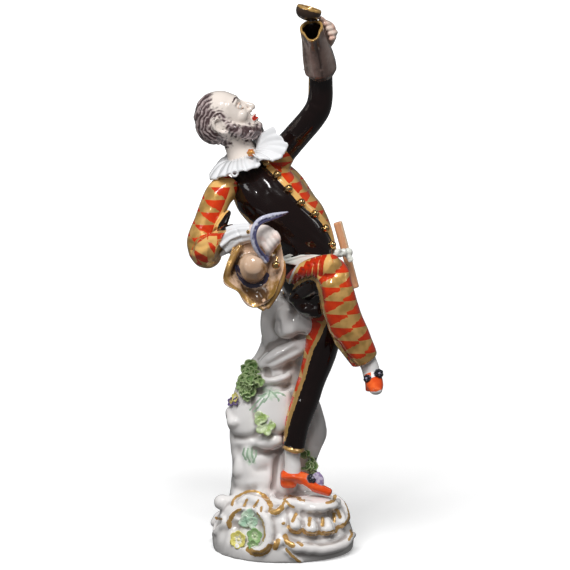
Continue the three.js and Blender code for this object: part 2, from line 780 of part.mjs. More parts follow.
function collar() {
  const edge = new THREE.CatmullRomCurve3([...loweredLobe, ...raisedLobe], true);
  const pleats = 13;
  const throat = span(4.6);
  const shares = [0, 0.001, 0.55, 1, 1, 0.5, 0];
  return skin(shares.length - 1, pleats * 2, (row, turn) => {
    const below = row > 3;
    const share = shares[row];
    const rim = edge.getPoint(turn / (2 * Math.PI));
    const middle = collarRoot.clone().addScaledVector(collarUp, below ? -1 : 1);
    const flat = rim.clone().sub(collarRoot);
    flat.addScaledVector(collarUp, -flat.dot(collarUp)).setLength(throat);
    const atPole = row === 0 || row === shares.length - 1;
    const start = atPole ? middle : middle.clone().add(flat);
    const flute = span(0.5) * Math.cos(pleats * turn) * share;
    const swell = below ? -1 : span(2.2) * Math.sin(Math.PI * share);
    const lift = swell + flute + (below ? -0.5 : 0.5) * collarThickness * share;
    return start.lerp(rim, share).addScaledVector(collarUp, lift);
  });
}

// Hat held against the hip, crown outwards

const hatNormal = towards(0.1, -0.93, 0.34);
const hatFrame = [...across(hatNormal, towards(1, 0, 0)), hatNormal];
const hatCentre = at(-8.9, -16.6, 77.2);

// The brim's reach and its curl towards the viewer, in twelve steps from the viewer's right over the top
const brimReach = [9.9, 10.9, 14.2, 14.4, 10.2, 8.0, 8.4, 10.3, 9.2, 12.4, 11.6, 9.6];
const brimCurl = [3.4, 2.4, 0.6, 0.2, 0.8, 2.4, 3.2, 1.0, 3.4, 1.0, 3.2, 3.6];

function hat() {
  const brim = disc(
    hatCentre,
    hatFrame,
    (turn) => span(around(brimReach, turn)),
    (share, turn) => span(around(brimCurl, turn)) * share ** 3,
    brimThickness,
    18,
    2,
  );
  const crownPath = [0, 4, 6.4].map((height) => hatCentre.clone().addScaledVector(hatNormal, span(height)));
  const crown = limb(crownPath, [4.9, 4.6, 3.4], { front: up, sides: 10, steps: 2, dome: 0.5, capRows: 2 });
  const plume = limb(
    path(
      [-5.3, -21, 80],
      [-7.7, -22.4, 83.6],
      [-9.3, -22.8, 87],
      [-9.5, -22, 90.6],
      [-8.1, -21, 93.6],
      [-5, -20, 95],
      [-1.5, -19, 95.4],
      [1, -18, 95.2],
    ),
    [0.9, 1.1, 1.2, 1.2, 1.2, 1.2, 1.0, 0.7],
    { sides: 5, steps: 8 },
  );
  const plumeRoot = limb(path([-5.2, -17, 80.4], [-5.3, -21.4, 80.2]), [1.4, 1.1], { sides: 6, steps: 1 });
  const bell = egg(at(-2.4, -17.4, 78.6), worldFrame, [1.2, 1.2, 1.2], 6, 4);
  return [brim, crown, plume, plumeRoot, bell];
}

// The whole figure

// Short facets are merged where that moves the surface by no more than this.
const surfaceTolerance = 0.2;

// The joined body without the slivers that are left where two surfaces only just touch.
function largest(joined) {
  const bodies = joined.decompose();
  bodies.sort((a, b) => b.volume() - a.volume());
  return bodies[0];
}

function figureSolid() {
  const { body, lid } = jug();
  const standing = shoe(at(2.0, -6.2, 7.0), at(9.8, -7.8, 4.6), at(14.6, -8.8, 2.8), towards(-0.16, 0, -1));
  const raised = shoe(at(28.3, -16.6, 42.6), at(29, -20.6, 40.6), at(29.3, -24, 39.4), towards(0, 0.3, -1));
  const rest = join([
    mound(),
    ...scrolls(),
    ...shellLobes(),
    ...baseOrnaments(),
    ...plants(),
    ...stump(),
    ...standingLeg(),
    ...raisedLeg(),
    ...standing,
    ...raised,
    seat(),
    jacket(),
    ...buttons(),
    ...sash(),
    bat(),
    ...lowArm(),
    ...highArm(),
    ...head(),
    collar(),
    ...hat(),
    lid,
  ]);
  return largest(join([rest, body]).simplify(surfaceTolerance));
}

function meshOf(name, manifold, material) {
  const made = manifold.getMesh();
  const geometry = new THREE.BufferGeometry();
  geometry.setAttribute("position", new THREE.BufferAttribute(made.vertProperties, made.numProp));
  geometry.setIndex(new THREE.BufferAttribute(made.triVerts, 1));
  geometry.computeVertexNormals();
  const mesh = new THREE.Mesh(geometry, material);
  mesh.name = name;
  return mesh;
}

const glazedPorcelain = new THREE.MeshStandardMaterial({ color: 0xece8e4, roughness: 0.12, metalness: 0 });
const group = new THREE.Group();
group.add(meshOf("figure", figureSolid(), glazedPorcelain));

export default group;
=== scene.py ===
"""A glazed porcelain figure of a comedy player on a tree stump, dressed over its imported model."""

import math

import bpy
import numpy as np
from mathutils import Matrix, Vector
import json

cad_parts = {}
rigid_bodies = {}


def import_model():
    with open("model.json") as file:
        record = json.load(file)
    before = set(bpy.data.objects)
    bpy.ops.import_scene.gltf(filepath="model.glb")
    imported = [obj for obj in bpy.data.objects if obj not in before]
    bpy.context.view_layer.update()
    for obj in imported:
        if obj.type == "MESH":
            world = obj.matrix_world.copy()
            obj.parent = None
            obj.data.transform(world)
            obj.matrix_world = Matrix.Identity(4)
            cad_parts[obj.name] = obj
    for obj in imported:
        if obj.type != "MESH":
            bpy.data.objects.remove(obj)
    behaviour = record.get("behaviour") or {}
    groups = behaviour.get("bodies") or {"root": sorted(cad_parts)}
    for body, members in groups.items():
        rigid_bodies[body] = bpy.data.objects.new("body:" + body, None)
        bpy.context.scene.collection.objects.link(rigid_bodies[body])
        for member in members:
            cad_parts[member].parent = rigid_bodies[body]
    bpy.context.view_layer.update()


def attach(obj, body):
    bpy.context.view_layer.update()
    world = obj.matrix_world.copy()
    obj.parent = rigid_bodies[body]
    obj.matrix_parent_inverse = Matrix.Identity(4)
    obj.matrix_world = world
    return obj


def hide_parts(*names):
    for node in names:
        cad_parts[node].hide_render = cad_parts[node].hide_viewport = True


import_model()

# The view
# The figure is seen from a little above, as it stands on a shelf. Places that were read in the picture are
# kept as picture points, 570 by 570, and seen() says where a place in the frame falls among them.
mm = 0.001
picture_size = 570
mm_per_point = 0.32
view_distance = 900.0
view_elevation = math.radians(10)
view_target = np.array([0.64, 0.0, 86.6])
to_camera = np.array([0.0, -math.cos(view_elevation), math.sin(view_elevation)])
picture_up = np.array([0.0, math.sin(view_elevation), math.cos(view_elevation)])
sensor_width = 36.0

scene_objects = bpy.context.scene.collection.objects
camera_data = bpy.data.cameras.new("camera")
camera_data.sensor_width = sensor_width
camera_data.lens = sensor_width * view_distance / (picture_size * mm_per_point)
camera_data.clip_start = 0.05
camera = bpy.data.objects.new("camera", camera_data)
camera.location = (view_target + view_distance * to_camera) * mm
camera.rotation_euler = (math.pi / 2 - view_elevation, 0, 0)
scene_objects.link(camera)
bpy.context.scene.camera = camera


def seen(places):
    """Where places, in millimetres, fall in the picture, and how far they are from the camera."""
    away = np.atleast_2d(places) - view_target
    depth = view_distance - away @ to_camera
    scale = view_distance / (depth * mm_per_point)
    middle = picture_size / 2
    return np.column_stack([middle + away[:, 0] * scale, middle - (away @ picture_up) * scale]), depth


# Base
# A low oval mound of white porcelain, press-moulded with scrolls, a shell and a flower recess, and gilt by
# brush along the edges. Its clay is modelled as overlapping forms that are pressed into one skin.
base_height = 18.0
base_width = 46.0
base_depth = 40.0
base_grain = 0.381
wall_shares = [0.985, 1.0, 1.0, 0.97, 0.935, 0.905, 0.87, 0.79, 0.6]
viewer = np.array([0.0, -1.0, 0.0])
up = np.array([0.0, 0.0, 1.0])


def at(x, y, z):
    """A place in millimetres, measured from the middle of the base's top."""
    return np.array([x, y, z + base_height], dtype=float)


def towards(x, y, z):
    arrow = np.array([x, y, z], dtype=float)
    return arrow / np.linalg.norm(arrow)


def unit(arrows):
    return arrows / np.maximum(np.linalg.norm(arrows, axis=-1, keepdims=True), 1e-9)


def smooth_line(stops, count):
    """Count rows on a smooth line through the stops."""
    stops = np.asarray(stops, dtype=float)
    place = np.linspace(0, len(stops) - 1, count)
    low = np.minimum(place.astype(int), len(stops) - 2)
    share = (place - low)[:, None]
    ends = np.vstack([2 * stops[0] - stops[1], stops, 2 * stops[-1] - stops[-2]])
    before, here, after, beyond = (ends[low + step] for step in range(4))
    bend = 2 * before - 5 * here + 4 * after - beyond
    twist = 3 * here - before - 3 * after + beyond
    return 0.5 * (2 * here + (after - before) * share + bend * share**2 + twist * share**3)


def round_turns(count):
    return np.linspace(0, 2 * math.pi, count, endpoint=False)


def skin(grid):
    """Corners and faces of a closed form from rings of corners, drawn together at both ends."""
    rings, columns = grid.shape[:2]
    corners = np.vstack([grid.reshape(-1, 3), grid[0].mean(0), grid[-1].mean(0)])
    first, last = rings * columns, rings * columns + 1
    faces = []
    for ring in range(rings - 1):
        for column in range(columns):
            beside = (column + 1) % columns
            low, high = ring * columns, (ring + 1) * columns
            faces.append((low + column, low + beside, high + beside, high + column))
    for column in range(columns):
        beside = (column + 1) % columns
        faces.append((first, beside, column))
        faces.append((last, (rings - 1) * columns + column, (rings - 1) * columns + beside))
    return corners, faces


def tube(centres, wide, deep=None, front=viewer, sides=24, steps=None, dome=0.6, ripple=None):
    """A domed form along a smooth line. deep is its half size towards front, and wide the one across."""
    deep = wide if deep is None else deep
    steps = steps or 7 * (len(centres) - 1)
    rows = smooth_line(np.column_stack([centres, wide, deep]), steps + 1)
    line, half_wide, half_deep = rows[:, :3], rows[:, 3], rows[:, 4]
    axis = unit(np.gradient(line, axis=0))
    ahead = unit(front - (axis @ front)[:, None] * axis)
    beside = np.cross(axis, ahead)
    turns = round_turns(sides)
    swell = np.ones((steps + 1, sides))
    if ripple:
        swell = swell + ripple(np.linspace(0, 1, steps + 1)[:, None], turns)
    ring = ahead[:, None] * (half_deep[:, None] * np.cos(turns) * swell)[..., None]
    ring = ring + beside[:, None] * (half_wide[:, None] * np.sin(turns) * swell)[..., None]
    rounding = dome * np.minimum(half_wide, half_deep)
    start, finish = [], []
    for fall in np.radians([78, 55, 30]):
        start.append(line[0] - axis[0] * rounding[0] * math.sin(fall) + ring[0] * math.cos(fall))
        finish.insert(0, line[-1] + axis[-1] * rounding[-1] * math.sin(fall) + ring[-1] * math.cos(fall))
    return skin(np.concatenate([start, line[:, None] + ring, finish]))


world_frame = np.eye(3)


def ball(centre, sizes, directions=world_frame, columns=20, rings=12, square=1.0):
    """An egg whose half sizes lie along three directions. square below 1 makes it boxy."""
    polar = np.linspace(0, math.pi, rings + 1)[1:-1, None]
    turns = round_turns(columns)
    across = np.sin(polar)
    shares = np.stack([across * np.cos(turns), across * np.sin(turns), np.cos(polar) + 0 * turns], axis=-1)
    shares = np.sign(shares) * np.abs(shares) ** square
    return skin(centre + (shares * np.asarray(sizes, dtype=float)) @ directions)


def spot(across, down, depth):
    """The place in the frame that is seen at a picture point and lies at a given depth, its Y."""
    eye = view_target + view_distance * to_camera
    offset = np.array([across - picture_size / 2, picture_size / 2 - down]) * mm_per_point
    aim = view_target + np.array([offset[0], 0, 0]) + offset[1] * picture_up - eye
    return eye + aim * (depth - eye[1]) / aim[1]


def spots(*places):
    return [spot(*place) for place in places]


def line_distance(places, line):
    """How far each place is from a line of points, how far along the line its nearest point lies, and in a
    picture also the side: above 0 on the right hand of one who walks the line."""
    nearest = np.full(len(places), 1e9)
    along = np.zeros(len(places))
    side = np.zeros(len(places))
    walked = 0.0
    line = np.asarray(line, dtype=float)
    for start, finish in zip(line[:-1], line[1:]):
        step = finish - start
        length = max(np.linalg.norm(step), 1e-9)
        share = np.clip((places - start) @ step / length**2, 0, 1)
        gap = np.linalg.norm(places - start - share[:, None] * step, axis=1)
        closer = gap < nearest
        nearest[closer] = gap[closer]
        along[closer] = walked + share[closer] * length
        away = places[closer] - start
        side[closer] = np.sign(step[0] * away[:, 1] - step[1] * away[:, 0])
        walked += length
    return nearest, along, side


def round_outline(places, outline):
    """How far each place is from a closed outline, below 0 inside it."""
    gap = line_distance(places, np.vstack([outline, outline[:1]]))[0]
    return np.where(inside(places, outline), -gap, gap)


def inside(places, outline):
    """Which picture points lie inside a closed outline."""
    held = np.zeros(len(places), dtype=bool)
    for (x0, y0), (x1, y1) in zip(outline, np.roll(outline, -1, axis=0)):
        crosses = (y0 > places[:, 1]) != (y1 > places[:, 1])
        if y0 != y1:
            held ^= crosses & (places[:, 0] < (x1 - x0) * (places[:, 1] - y0) / (y1 - y0) + x0)
    return held


def plain_mesh(lump):
    """The mesh that an object's modifiers make."""
    return bpy.data.meshes.new_from_object(lump.evaluated_get(bpy.context.evaluated_depsgraph_get()))


# What no brush has touched counts as this far from any paint, in millimetres.
unpainted = 9.0


class Clay:
    """One skin of clay: its corners in millimetres, its four-sided faces, and the painter's marks."""

    def __init__(self, forms, grain):
        corners, faces = [], []
        for form_corners, form_faces in forms:
            start = sum(len(part) for part in corners)
            corners.append(form_corners)
            faces += [tuple(start + corner for corner in face) for face in form_faces]
        mesh = bpy.data.meshes.new("clay")
        mesh.from_pydata((np.vstack(corners) * mm).tolist(), [], faces)
        lump = bpy.data.objects.new("clay", mesh)
        scene_objects.link(lump)
        press = lump.modifiers.new("press", "REMESH")
        press.mode = "VOXEL"
        press.voxel_size = grain * mm
        shaped = plain_mesh(lump)
        places = np.empty(len(shaped.vertices) * 3)
        shaped.vertices.foreach_get("co", places)
        corners_of = np.empty(len(shaped.loops), dtype=np.int32)
        shaped.loops.foreach_get("vertex_index", corners_of)
        self.points = places.reshape(-1, 3) / mm
        self.faces = corners_of.reshape(-1, 4)
        self.marks = {}
        bpy.data.objects.remove(lump)
        bpy.data.meshes.remove(mesh)
        bpy.data.meshes.remove(shaped)
        self.keep_largest()
        self.soften(2)

    def keep_largest(self):
        """Drops the crumbs that are left where two forms only just touch."""
        label = np.arange(len(self.points))
        while True:
            lowest = label[self.faces].min(1)
            fresh = label.copy()
            np.minimum.at(fresh, self.faces.ravel(), np.repeat(lowest, 4))
            fresh = fresh[fresh]
            if (fresh == label).all():
                break
            label = fresh
        names, counts = np.unique(label, return_counts=True)
        kept = label == names[counts.argmax()]
        number = np.cumsum(kept) - 1
        self.faces = number[self.faces[kept[self.faces[:, 0]]]]
        self.points = self.points[kept]
        pairs = np.vstack([self.faces[:, [side, (side + 1) % 4]] for side in range(4)])
        self.pairs = np.unique(np.sort(pairs, axis=1), axis=0)

    def spread(self, values):
        """The mean of each corner's neighbours."""
        first, second = self.pairs.T
        total = np.zeros_like(values)
        for here, there in ((first, second), (second, first)):
            for column in range(values.shape[1]):
                total[:, column] += np.bincount(here, values[there, column], len(values))
        return total / np.bincount(self.pairs.ravel(), minlength=len(values))[:, None]

    def softened(self, passes, share=0.6):
        """Where the corners come to lie when each is drawn a share of the way to its neighbours' mean."""
        points = self.points
        for _ in range(passes):
            points = points + share * (self.spread(points) - points)
        return points

    def soften(self, passes):
        self.points = self.softened(passes)

    def outwards(self):
        """Each corner's outward direction."""
        corner = self.points[self.faces]
        across = np.cross(corner[:, 2] - corner[:, 0], corner[:, 3] - corner[:, 1])
        total = np.zeros_like(self.points)
        for side in range(4):
            for column in range(3):
                total[:, column] += np.bincount(self.faces[:, side], across[:, column], len(self.points))
        return unit(total)

    def facing(self, low=0.0, high=0.35):
        """How far each corner turns to the viewer, from 0 to 1."""
        turned = self.outwards() @ to_camera
        return np.clip((turned - low) / (high - low), 0, 1)

    def push(self, amount):
        self.points = self.points + self.outwards() * np.broadcast_to(amount, len(self.points))[:, None]

    def press(self, line, width, depth):
        """A soft groove along a line of picture points, or a ridge where depth is below 0."""
        gap = line_distance(seen(self.points)[0], line)[0] * mm_per_point
        self.push(-depth * np.exp(-((gap / width) ** 2)) * self.facing())

    def carve(self, line, width, depth):
        """The same along a line of places in the frame."""
        self.push(-depth * np.exp(-((line_distance(self.points, line)[0] / width) ** 2)))

    def fold(self, lines, count):
        """Presses smooth folds, each with its width and depth."""
        for line, width, depth in lines:
            self.press(smooth_line(line, count), width, depth)

    def place_at(self, points):
        """The places on the skin that are seen at picture points: the foremost within one point of each."""
        seen_at, depth = seen(self.points)
        front = self.facing() > 0
        places = []
        for point in np.atleast_2d(points):
            gap = np.linalg.norm(seen_at - point, axis=1) + np.where(front, 0, picture_size)
            near = np.where(gap < gap.min() + 1.0)[0]
            places.append(self.points[near[depth[near].argmin()]])
        return np.array(places)

    def stroke(self, name, gap, front_only=True):
        """Adds a stroke to a mark. Its gap is the distance in millimetres to its edge, below 0 inside."""
        if front_only:
            gap = np.where(self.facing(-0.1, 0.1) > 0.5, gap, unpainted)
        self.mark(name, np.minimum(self.marks.get(name, unpainted), gap))

    def brush(self, name, line, half_width, front_only=True):
        """Marks a brush stroke along a line of picture points."""
        gap = line_distance(seen(self.points)[0], line)[0] * mm_per_point - half_width
        self.stroke(name, gap, front_only)

    def fill(self, name, outline):
        """Marks the inside of an outline of picture points."""
        self.stroke(name, round_outline(seen(self.points)[0], outline) * mm_per_point)

    def beyond(self, line):
        """The distance in millimetres to a line of picture points, below 0 on its right-hand side."""
        gap, _, side = line_distance(seen(self.points)[0], line)
        return -gap * side * mm_per_point

    def shade_depths(self, passes=50, underside=0.22):
        """How far each corner lies below the skin around it, in millimetres, with the undersides added: the
        depth that sets the painted shade.
        """
        out = self.outwards()
        below = ((self.softened(passes) - self.points) * out).sum(1)
        return below + underside * np.clip(-out[:, 2] - 0.1, 0, 1)

    def mark(self, name, values):
        self.marks[name] = np.asarray(values, dtype=float)


def cut_off(form, start, finish, along, depth=-12, opened=0.35):
    """Cuts a form off along a line of two picture points: what lies beyond is drawn back along the limb.
    The cut face opens a little to the viewer."""
    corners, faces = form
    edge = unit(spot(*finish, depth) - spot(*start, depth))
    square = unit(np.cross(edge, to_camera))
    square = unit(square * np.sign(square @ along) + opened * to_camera)
    over = np.maximum((corners - spot(*(np.add(start, finish) / 2), depth)) @ square, 0)
    return corners - (over / (square @ along))[:, None] * along, faces


def fired(name, clay, finish):
    """Makes the finished piece from its clay and gives it its glaze."""
    mesh = bpy.data.meshes.new(name)
    mesh.from_pydata((clay.points * mm).tolist(), [], [list(face) for face in clay.faces])
    for mark, values in clay.marks.items():
        if values.ndim == 1:
            mesh.attributes.new(mark, "FLOAT", "POINT").data.foreach_set("value", values)
        else:
            mesh.attributes.new(mark, "FLOAT_VECTOR", "POINT").data.foreach_set("vector", values.ravel())
    settle(name, mesh, finish)


def settle(name, mesh, finish):
    """Puts a finished mesh in the scene as a piece of the figure."""
    mesh.shade_smooth()
    mesh.materials.clear()
    mesh.materials.append(finish)
    piece = bpy.data.objects.new(name, mesh)
    scene_objects.link(piece)
    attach(piece, "root")
    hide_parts("figure")


white = (0.9, 0.885, 0.87)
gold_light = (0.84, 0.53, 0.20)
gold_deep = (0.56, 0.31, 0.08)
glossy = 0.22
waviness = 0.25


class Glaze:
    """A fired glaze over painted colours. Paint is laid over the ground by the brush's marks."""

    def __init__(self, name, ground=white, roughness=glossy, metal=0.0):
        self.material = bpy.data.materials.new(name)
        self.material.use_nodes = True
        self.tree = self.material.node_tree
        self.shader = self.tree.nodes["Principled BSDF"]
        self.shader.inputs["Coat Weight"].default_value = 1.0
        self.shader.inputs["Coat Roughness"].default_value = 0.03
        self.shader.inputs["Coat IOR"].default_value = 1.5
        self.shader.inputs["Specular IOR Level"].default_value = 0.2
        self.place = self.node("ShaderNodeTexCoord").outputs["Object"]
        wave = self.noise(260.0, 2.0)
        bump = self.node("ShaderNodeBump")
        bump.inputs["Strength"].default_value = waviness
        bump.inputs["Distance"].default_value = 0.0002
        self.join(wave, bump.inputs["Height"])
        self.join(bump.outputs["Normal"], self.shader.inputs["Normal"])
        self.join(bump.outputs["Normal"], self.shader.inputs["Coat Normal"])
        self.colour = self.mix(self.noise(90.0, 3.0), ground, tuple(0.93 * part for part in ground))
        self.metal = metal
        self.rough = roughness

    def node(self, kind):
        return self.tree.nodes.new(kind)

    def join(self, output, socket):
        self.tree.links.new(output, socket)

    def put(self, value, socket):
        """Sets a socket to a number or a colour, or joins an output to it."""
        if isinstance(value, bpy.types.NodeSocket):
            self.join(value, socket)
        elif isinstance(value, tuple) and len(value) == 3:
            socket.default_value = (*value, 1.0)
        else:
            socket.default_value = value

    def noise(self, scale, detail, stretch=None):
        node = self.node("ShaderNodeTexNoise")
        node.inputs["Scale"].default_value = scale
        node.inputs["Detail"].default_value = detail
        self.join(self.stretched(stretch) if stretch else self.place, node.inputs["Vector"])
        return node.outputs["Fac"]

    def stretched(self, scales):
        node = self.node("ShaderNodeMapping")
        node.inputs["Scale"].default_value = scales
        self.join(self.place, node.inputs["Vector"])
        return node.outputs["Vector"]

    def read(self, mark):
        node = self.node("ShaderNodeAttribute")
        node.attribute_name = mark
        return node.outputs["Fac"]

    def sum(self, operation, first, second=0.0, third=0.0):
        node = self.node("ShaderNodeMath")
        node.operation = operation
        for value, socket in zip((first, second, third), node.inputs):
            self.put(value, socket)
        return node.outputs["Value"]

    def ramp(self, value, low, high, start=0.0, finish=1.0):
        node = self.node("ShaderNodeMapRange")
        node.interpolation_type = "SMOOTHSTEP"
        limits = (value, low, high, start, finish)
        for limit, socket in zip(limits, ("Value", "From Min", "From Max", "To Min", "To Max")):
            self.put(limit, node.inputs[socket])
        return node.outputs["Result"]

    def mix(self, share, first, second):
        node = self.node("ShaderNodeMix")
        node.data_type = "RGBA"
        self.put(share, node.inputs["Factor"])
        self.put(first, node.inputs[6])
        self.put(second, node.inputs[7])
        return node.outputs[2]

    def patches(self, scale, detail, low, high, start=0.0, finish=1.0, stretch=None):
        """Noise made into soft patches."""
        return self.ramp(self.noise(scale, detail, stretch), low, high, start, finish)

    def blend(self, share, first, second):
        """Mixes two numbers."""
        node = self.node("ShaderNodeMix")
        self.put(share, node.inputs["Factor"])
        self.put(first, node.inputs[2])
        self.put(second, node.inputs[3])
        return node.outputs[0]

    def lay(self, share, colour, metal=0.0, roughness=glossy):
        """Lays one paint over what is there, where share is 1."""
        self.colour = self.mix(share, self.colour, colour)
        self.metal = self.blend(share, self.metal, metal)
        self.rough = self.blend(share, self.rough, roughness)

    def mottle(self, colour, scale, detail, low, high, most=1.0, stretch=None):
        """Lays paint in soft patches."""
        self.lay(self.patches(scale, detail, low, high, 0.0, most, stretch), colour)

    def paint(self, mark, colour, metal=0.0, roughness=glossy, ragged=0.0, edge=0.07):
        """Lays paint inside a mark. ragged is how far the brush strays, in millimetres."""
        reach = self.read(mark)
        if ragged:
            reach = self.sum("ADD", reach, self.patches(900.0, 2.0, 0.3, 0.7, -ragged, ragged))
        self.lay(self.ramp(reach, edge, -edge), colour, metal, roughness)

    def gild(self, mark):
        """Burnished gold over a mark, thin and worn in places so that the body shows through."""
        tone = self.mix(self.noise(420.0, 2.0), gold_light, gold_deep)
        self.paint(mark, tone, metal=0.5, roughness=0.25, ragged=0.12)

    def done(self):
        self.put(self.colour, self.shader.inputs["Base Color"])
        self.put(self.metal, self.shader.inputs["Metallic"])
        self.put(self.rough, self.shader.inputs["Roughness"])
        return self.material


def lumps(places, size, seed):
    """Smooth unevenness of about one lump to each size millimetres."""
    chance = np.random.default_rng(seed)
    total = np.zeros(len(places))
    waves = 10
    for _ in range(waves):
        arrow = unit(chance.normal(size=3)) * 2 * math.pi / size * chance.uniform(0.6, 1.3)
        total += np.sin(places @ arrow + chance.uniform(0, 2 * math.pi))
    return total / waves**0.5


wall_steps = 96
wall_reach = smooth_line(np.array(wall_shares)[:, None], wall_steps + 1)[:, 0]


def on_base(degrees, share, out=0.0):
    """A place on the mound's wall: degrees from the front, share of the height, how far it stands out."""
    angle = math.radians(degrees)
    reach = wall_reach[int(round(min(share, 1.0) * wall_steps))]
    side = (base_width / 2 * reach + out) * math.sin(angle)
    return np.array([side, -(base_depth / 2 * reach + out) * math.cos(angle), base_height * share])


mound_rings = [[on_base(degrees, share) for degrees in range(0, 360, 5)] for share in np.linspace(0, 1, 25)]
mound = skin(np.array(mound_rings))
bare_mound = Clay([mound], 0.7)

# Each scroll is a row of picture points, its radius along it and how far its middle stands out.
scrolls = {
    "arch_ridge": (
        [(232, 504), (236, 497), (243.5, 493.5), (251, 491.5), (259, 492.5), (265, 497), (270, 503)],
        0.8, 0.7,
    ),
    "arch_band": (
        [(235, 494.5), (243, 489.5), (252, 487.5), (263, 489.5), (271, 495.5), (277, 501.5), (283, 502)],
        1.35, 0.4,
    ),
    "arch_shell": ([(239, 502), (249, 498.5), (259, 501.5), (265, 508)], 1.9, 0.2),
    "curl": ([(285.5, 497), (283.5, 504), (280, 509.5), (275.5, 512), (270.5, 510.5)], 1.25, 0.9),
    "ring_left": ([(229, 527), (229.5, 520), (233, 513.5), (239.5, 509.5), (247, 508.5)], 0.95, 0.5),
    "ring_right": (
        [(254, 508.5), (262, 513.5), (267.5, 522), (269, 532), (267.5, 541.5), (262, 548.5), (254, 551)],
        1.6, 0.9,
    ),
    "side_curl": ([(221, 514.5), (224, 519.5), (221, 526), (216.5, 531.5), (212.5, 534)], 1.05, 0.2),
    "side_curl_inner": ([(216, 520), (214, 526), (211.5, 532)], 0.8, 0.1),
    "cushion": (
        [(286, 500), (292, 502.5), (301, 505), (312, 507.3), (323, 507.5), (331.5, 505.3), (336, 501)],
        1.95, 1.0,
    ),
    "rim": ([(333, 489.5), (339.5, 493.5), (345, 501), (348, 509), (348.5, 516), (345, 523)], 1.3, 0.0),
    "crescent": (
        [(285.5, 539), (292, 544), (302, 547.3), (320, 549.5), (336.5, 547), (347, 541.5), (352, 533.5)],
        1.75, 0.5,
    ),
    "foot_scroll": ([(285, 549), (290, 554), (296, 559), (303, 562.5)], 0.75, 0.2),
    "drop": ([(280, 535.5), (278.5, 542), (275.5, 548)], 1.0, 0.4),
}
scroll_taper = 0.45
base_forms = [mound]
for line, radius, out in scrolls.values():
    places = bare_mound.place_at(smooth_line(line, 3 * len(line)))
    outward = unit((places - np.array([0, 0, base_height * 0.3])) * [1, 1.3, 0.6])
    count = len(places)
    taper = 1 - scroll_taper * np.abs(np.linspace(-1, 1, count)) ** 3
    base_forms.append(tube(places + outward * out, radius * taper, front=up, sides=14, steps=2 * count))

# The shell's flutes end in round lobes that overhang the crescent.
lobe_points = [(295, 527, 2.1), (311.5, 529.5, 2.6), (329, 529, 2.4), (342.5, 522.5, 1.9)]
for across, down, radius in lobe_points:
    top, foot = bare_mound.place_at([(across, down - 10), (across, down)])
    base_forms.append(
        tube([top, (top + foot) / 2 + viewer * 0.7, foot + viewer * 1.2], [0.8, radius * 0.9, radius])
    )

knob = at(-19.7, -2.4, -2.3)
base_forms.append(ball(knob, [2.8, 2.8, 2.6]))
base_forms.append(tube([knob, at(-13, -3, -2.4)], [2.0, 2.8]))
base_forms.append(ball(at(8.6, -9.0, -1.4), [9.6, 6.8, 2.6], columns=36, rings=20))
base_forms.append(ball(bare_mound.place_at([(283.5, 523)])[0], [0.9, 0.8, 0.9]))
back_arch = [(118, 0.3), (132, 0.7), (165, 0.92), (198, 0.7), (207, 0.35)]
back_foot = [(228, 0.2), (245, 0.5), (262, 0.4)]
for stops, radius in ((back_arch, 1.6), (back_foot, 1.4)):
    line = [on_base(*stop, 0.5) for stop in stops]
    base_forms.append(tube(line, [radius * 0.7] + [radius] * (len(stops) - 1), front=up))

# Stump
# A white rock shaped like a tree stump, hollow-cast, which carries the player's weight. It is stuck to the
# base with slip and sponged over, so that the two share one skin.
trunk_line = [
    (-8.4, 1.8, -4), (-8.8, 1.6, 6), (-8.4, 2.0, 15), (-8.0, 2.6, 24), (-6, 3.4, 33), (-2, 4, 41),
    (0.6, 4.4, 50), (4, 3.6, 61),
]
trunk_wide = [9.6, 7.6, 8.2, 9.8, 9.2, 7.4, 6.8, 8.0]
trunk_deep = [9.5, 7.4, 7.0, 7.6, 7.4, 6.8, 6.8, 7.6]
middle_line = [(-1.5, 5.4, -4), (-1.6, 5.2, 8), (-1, 5, 18), (-1.6, 5, 28), (0, 5, 40)]
rear_line = [(6, 6.5, -3), (6.4, 6.5, 9), (8.8, 6, 20), (6.4, 6, 31), (2, 6, 42)]


def weathered(t, turn):
    return 0.04 * np.sin(3 * turn + 9 * t) + 0.03 * np.sin(5 * turn - 16 * t + 1)


def tilted(lean, nod):
    """A block's three directions: it leans to the picture's right and nods to the viewer, in degrees."""
    lean, nod = math.radians(lean), math.radians(nod)
    across = np.array([math.cos(lean), 0, -math.sin(lean)])
    upright = np.array([math.sin(lean), 0, math.cos(lean)])
    inwards = math.sin(nod) * upright - math.cos(nod) * viewer
    return np.array([across, inwards, math.cos(nod) * upright + math.sin(nod) * viewer])


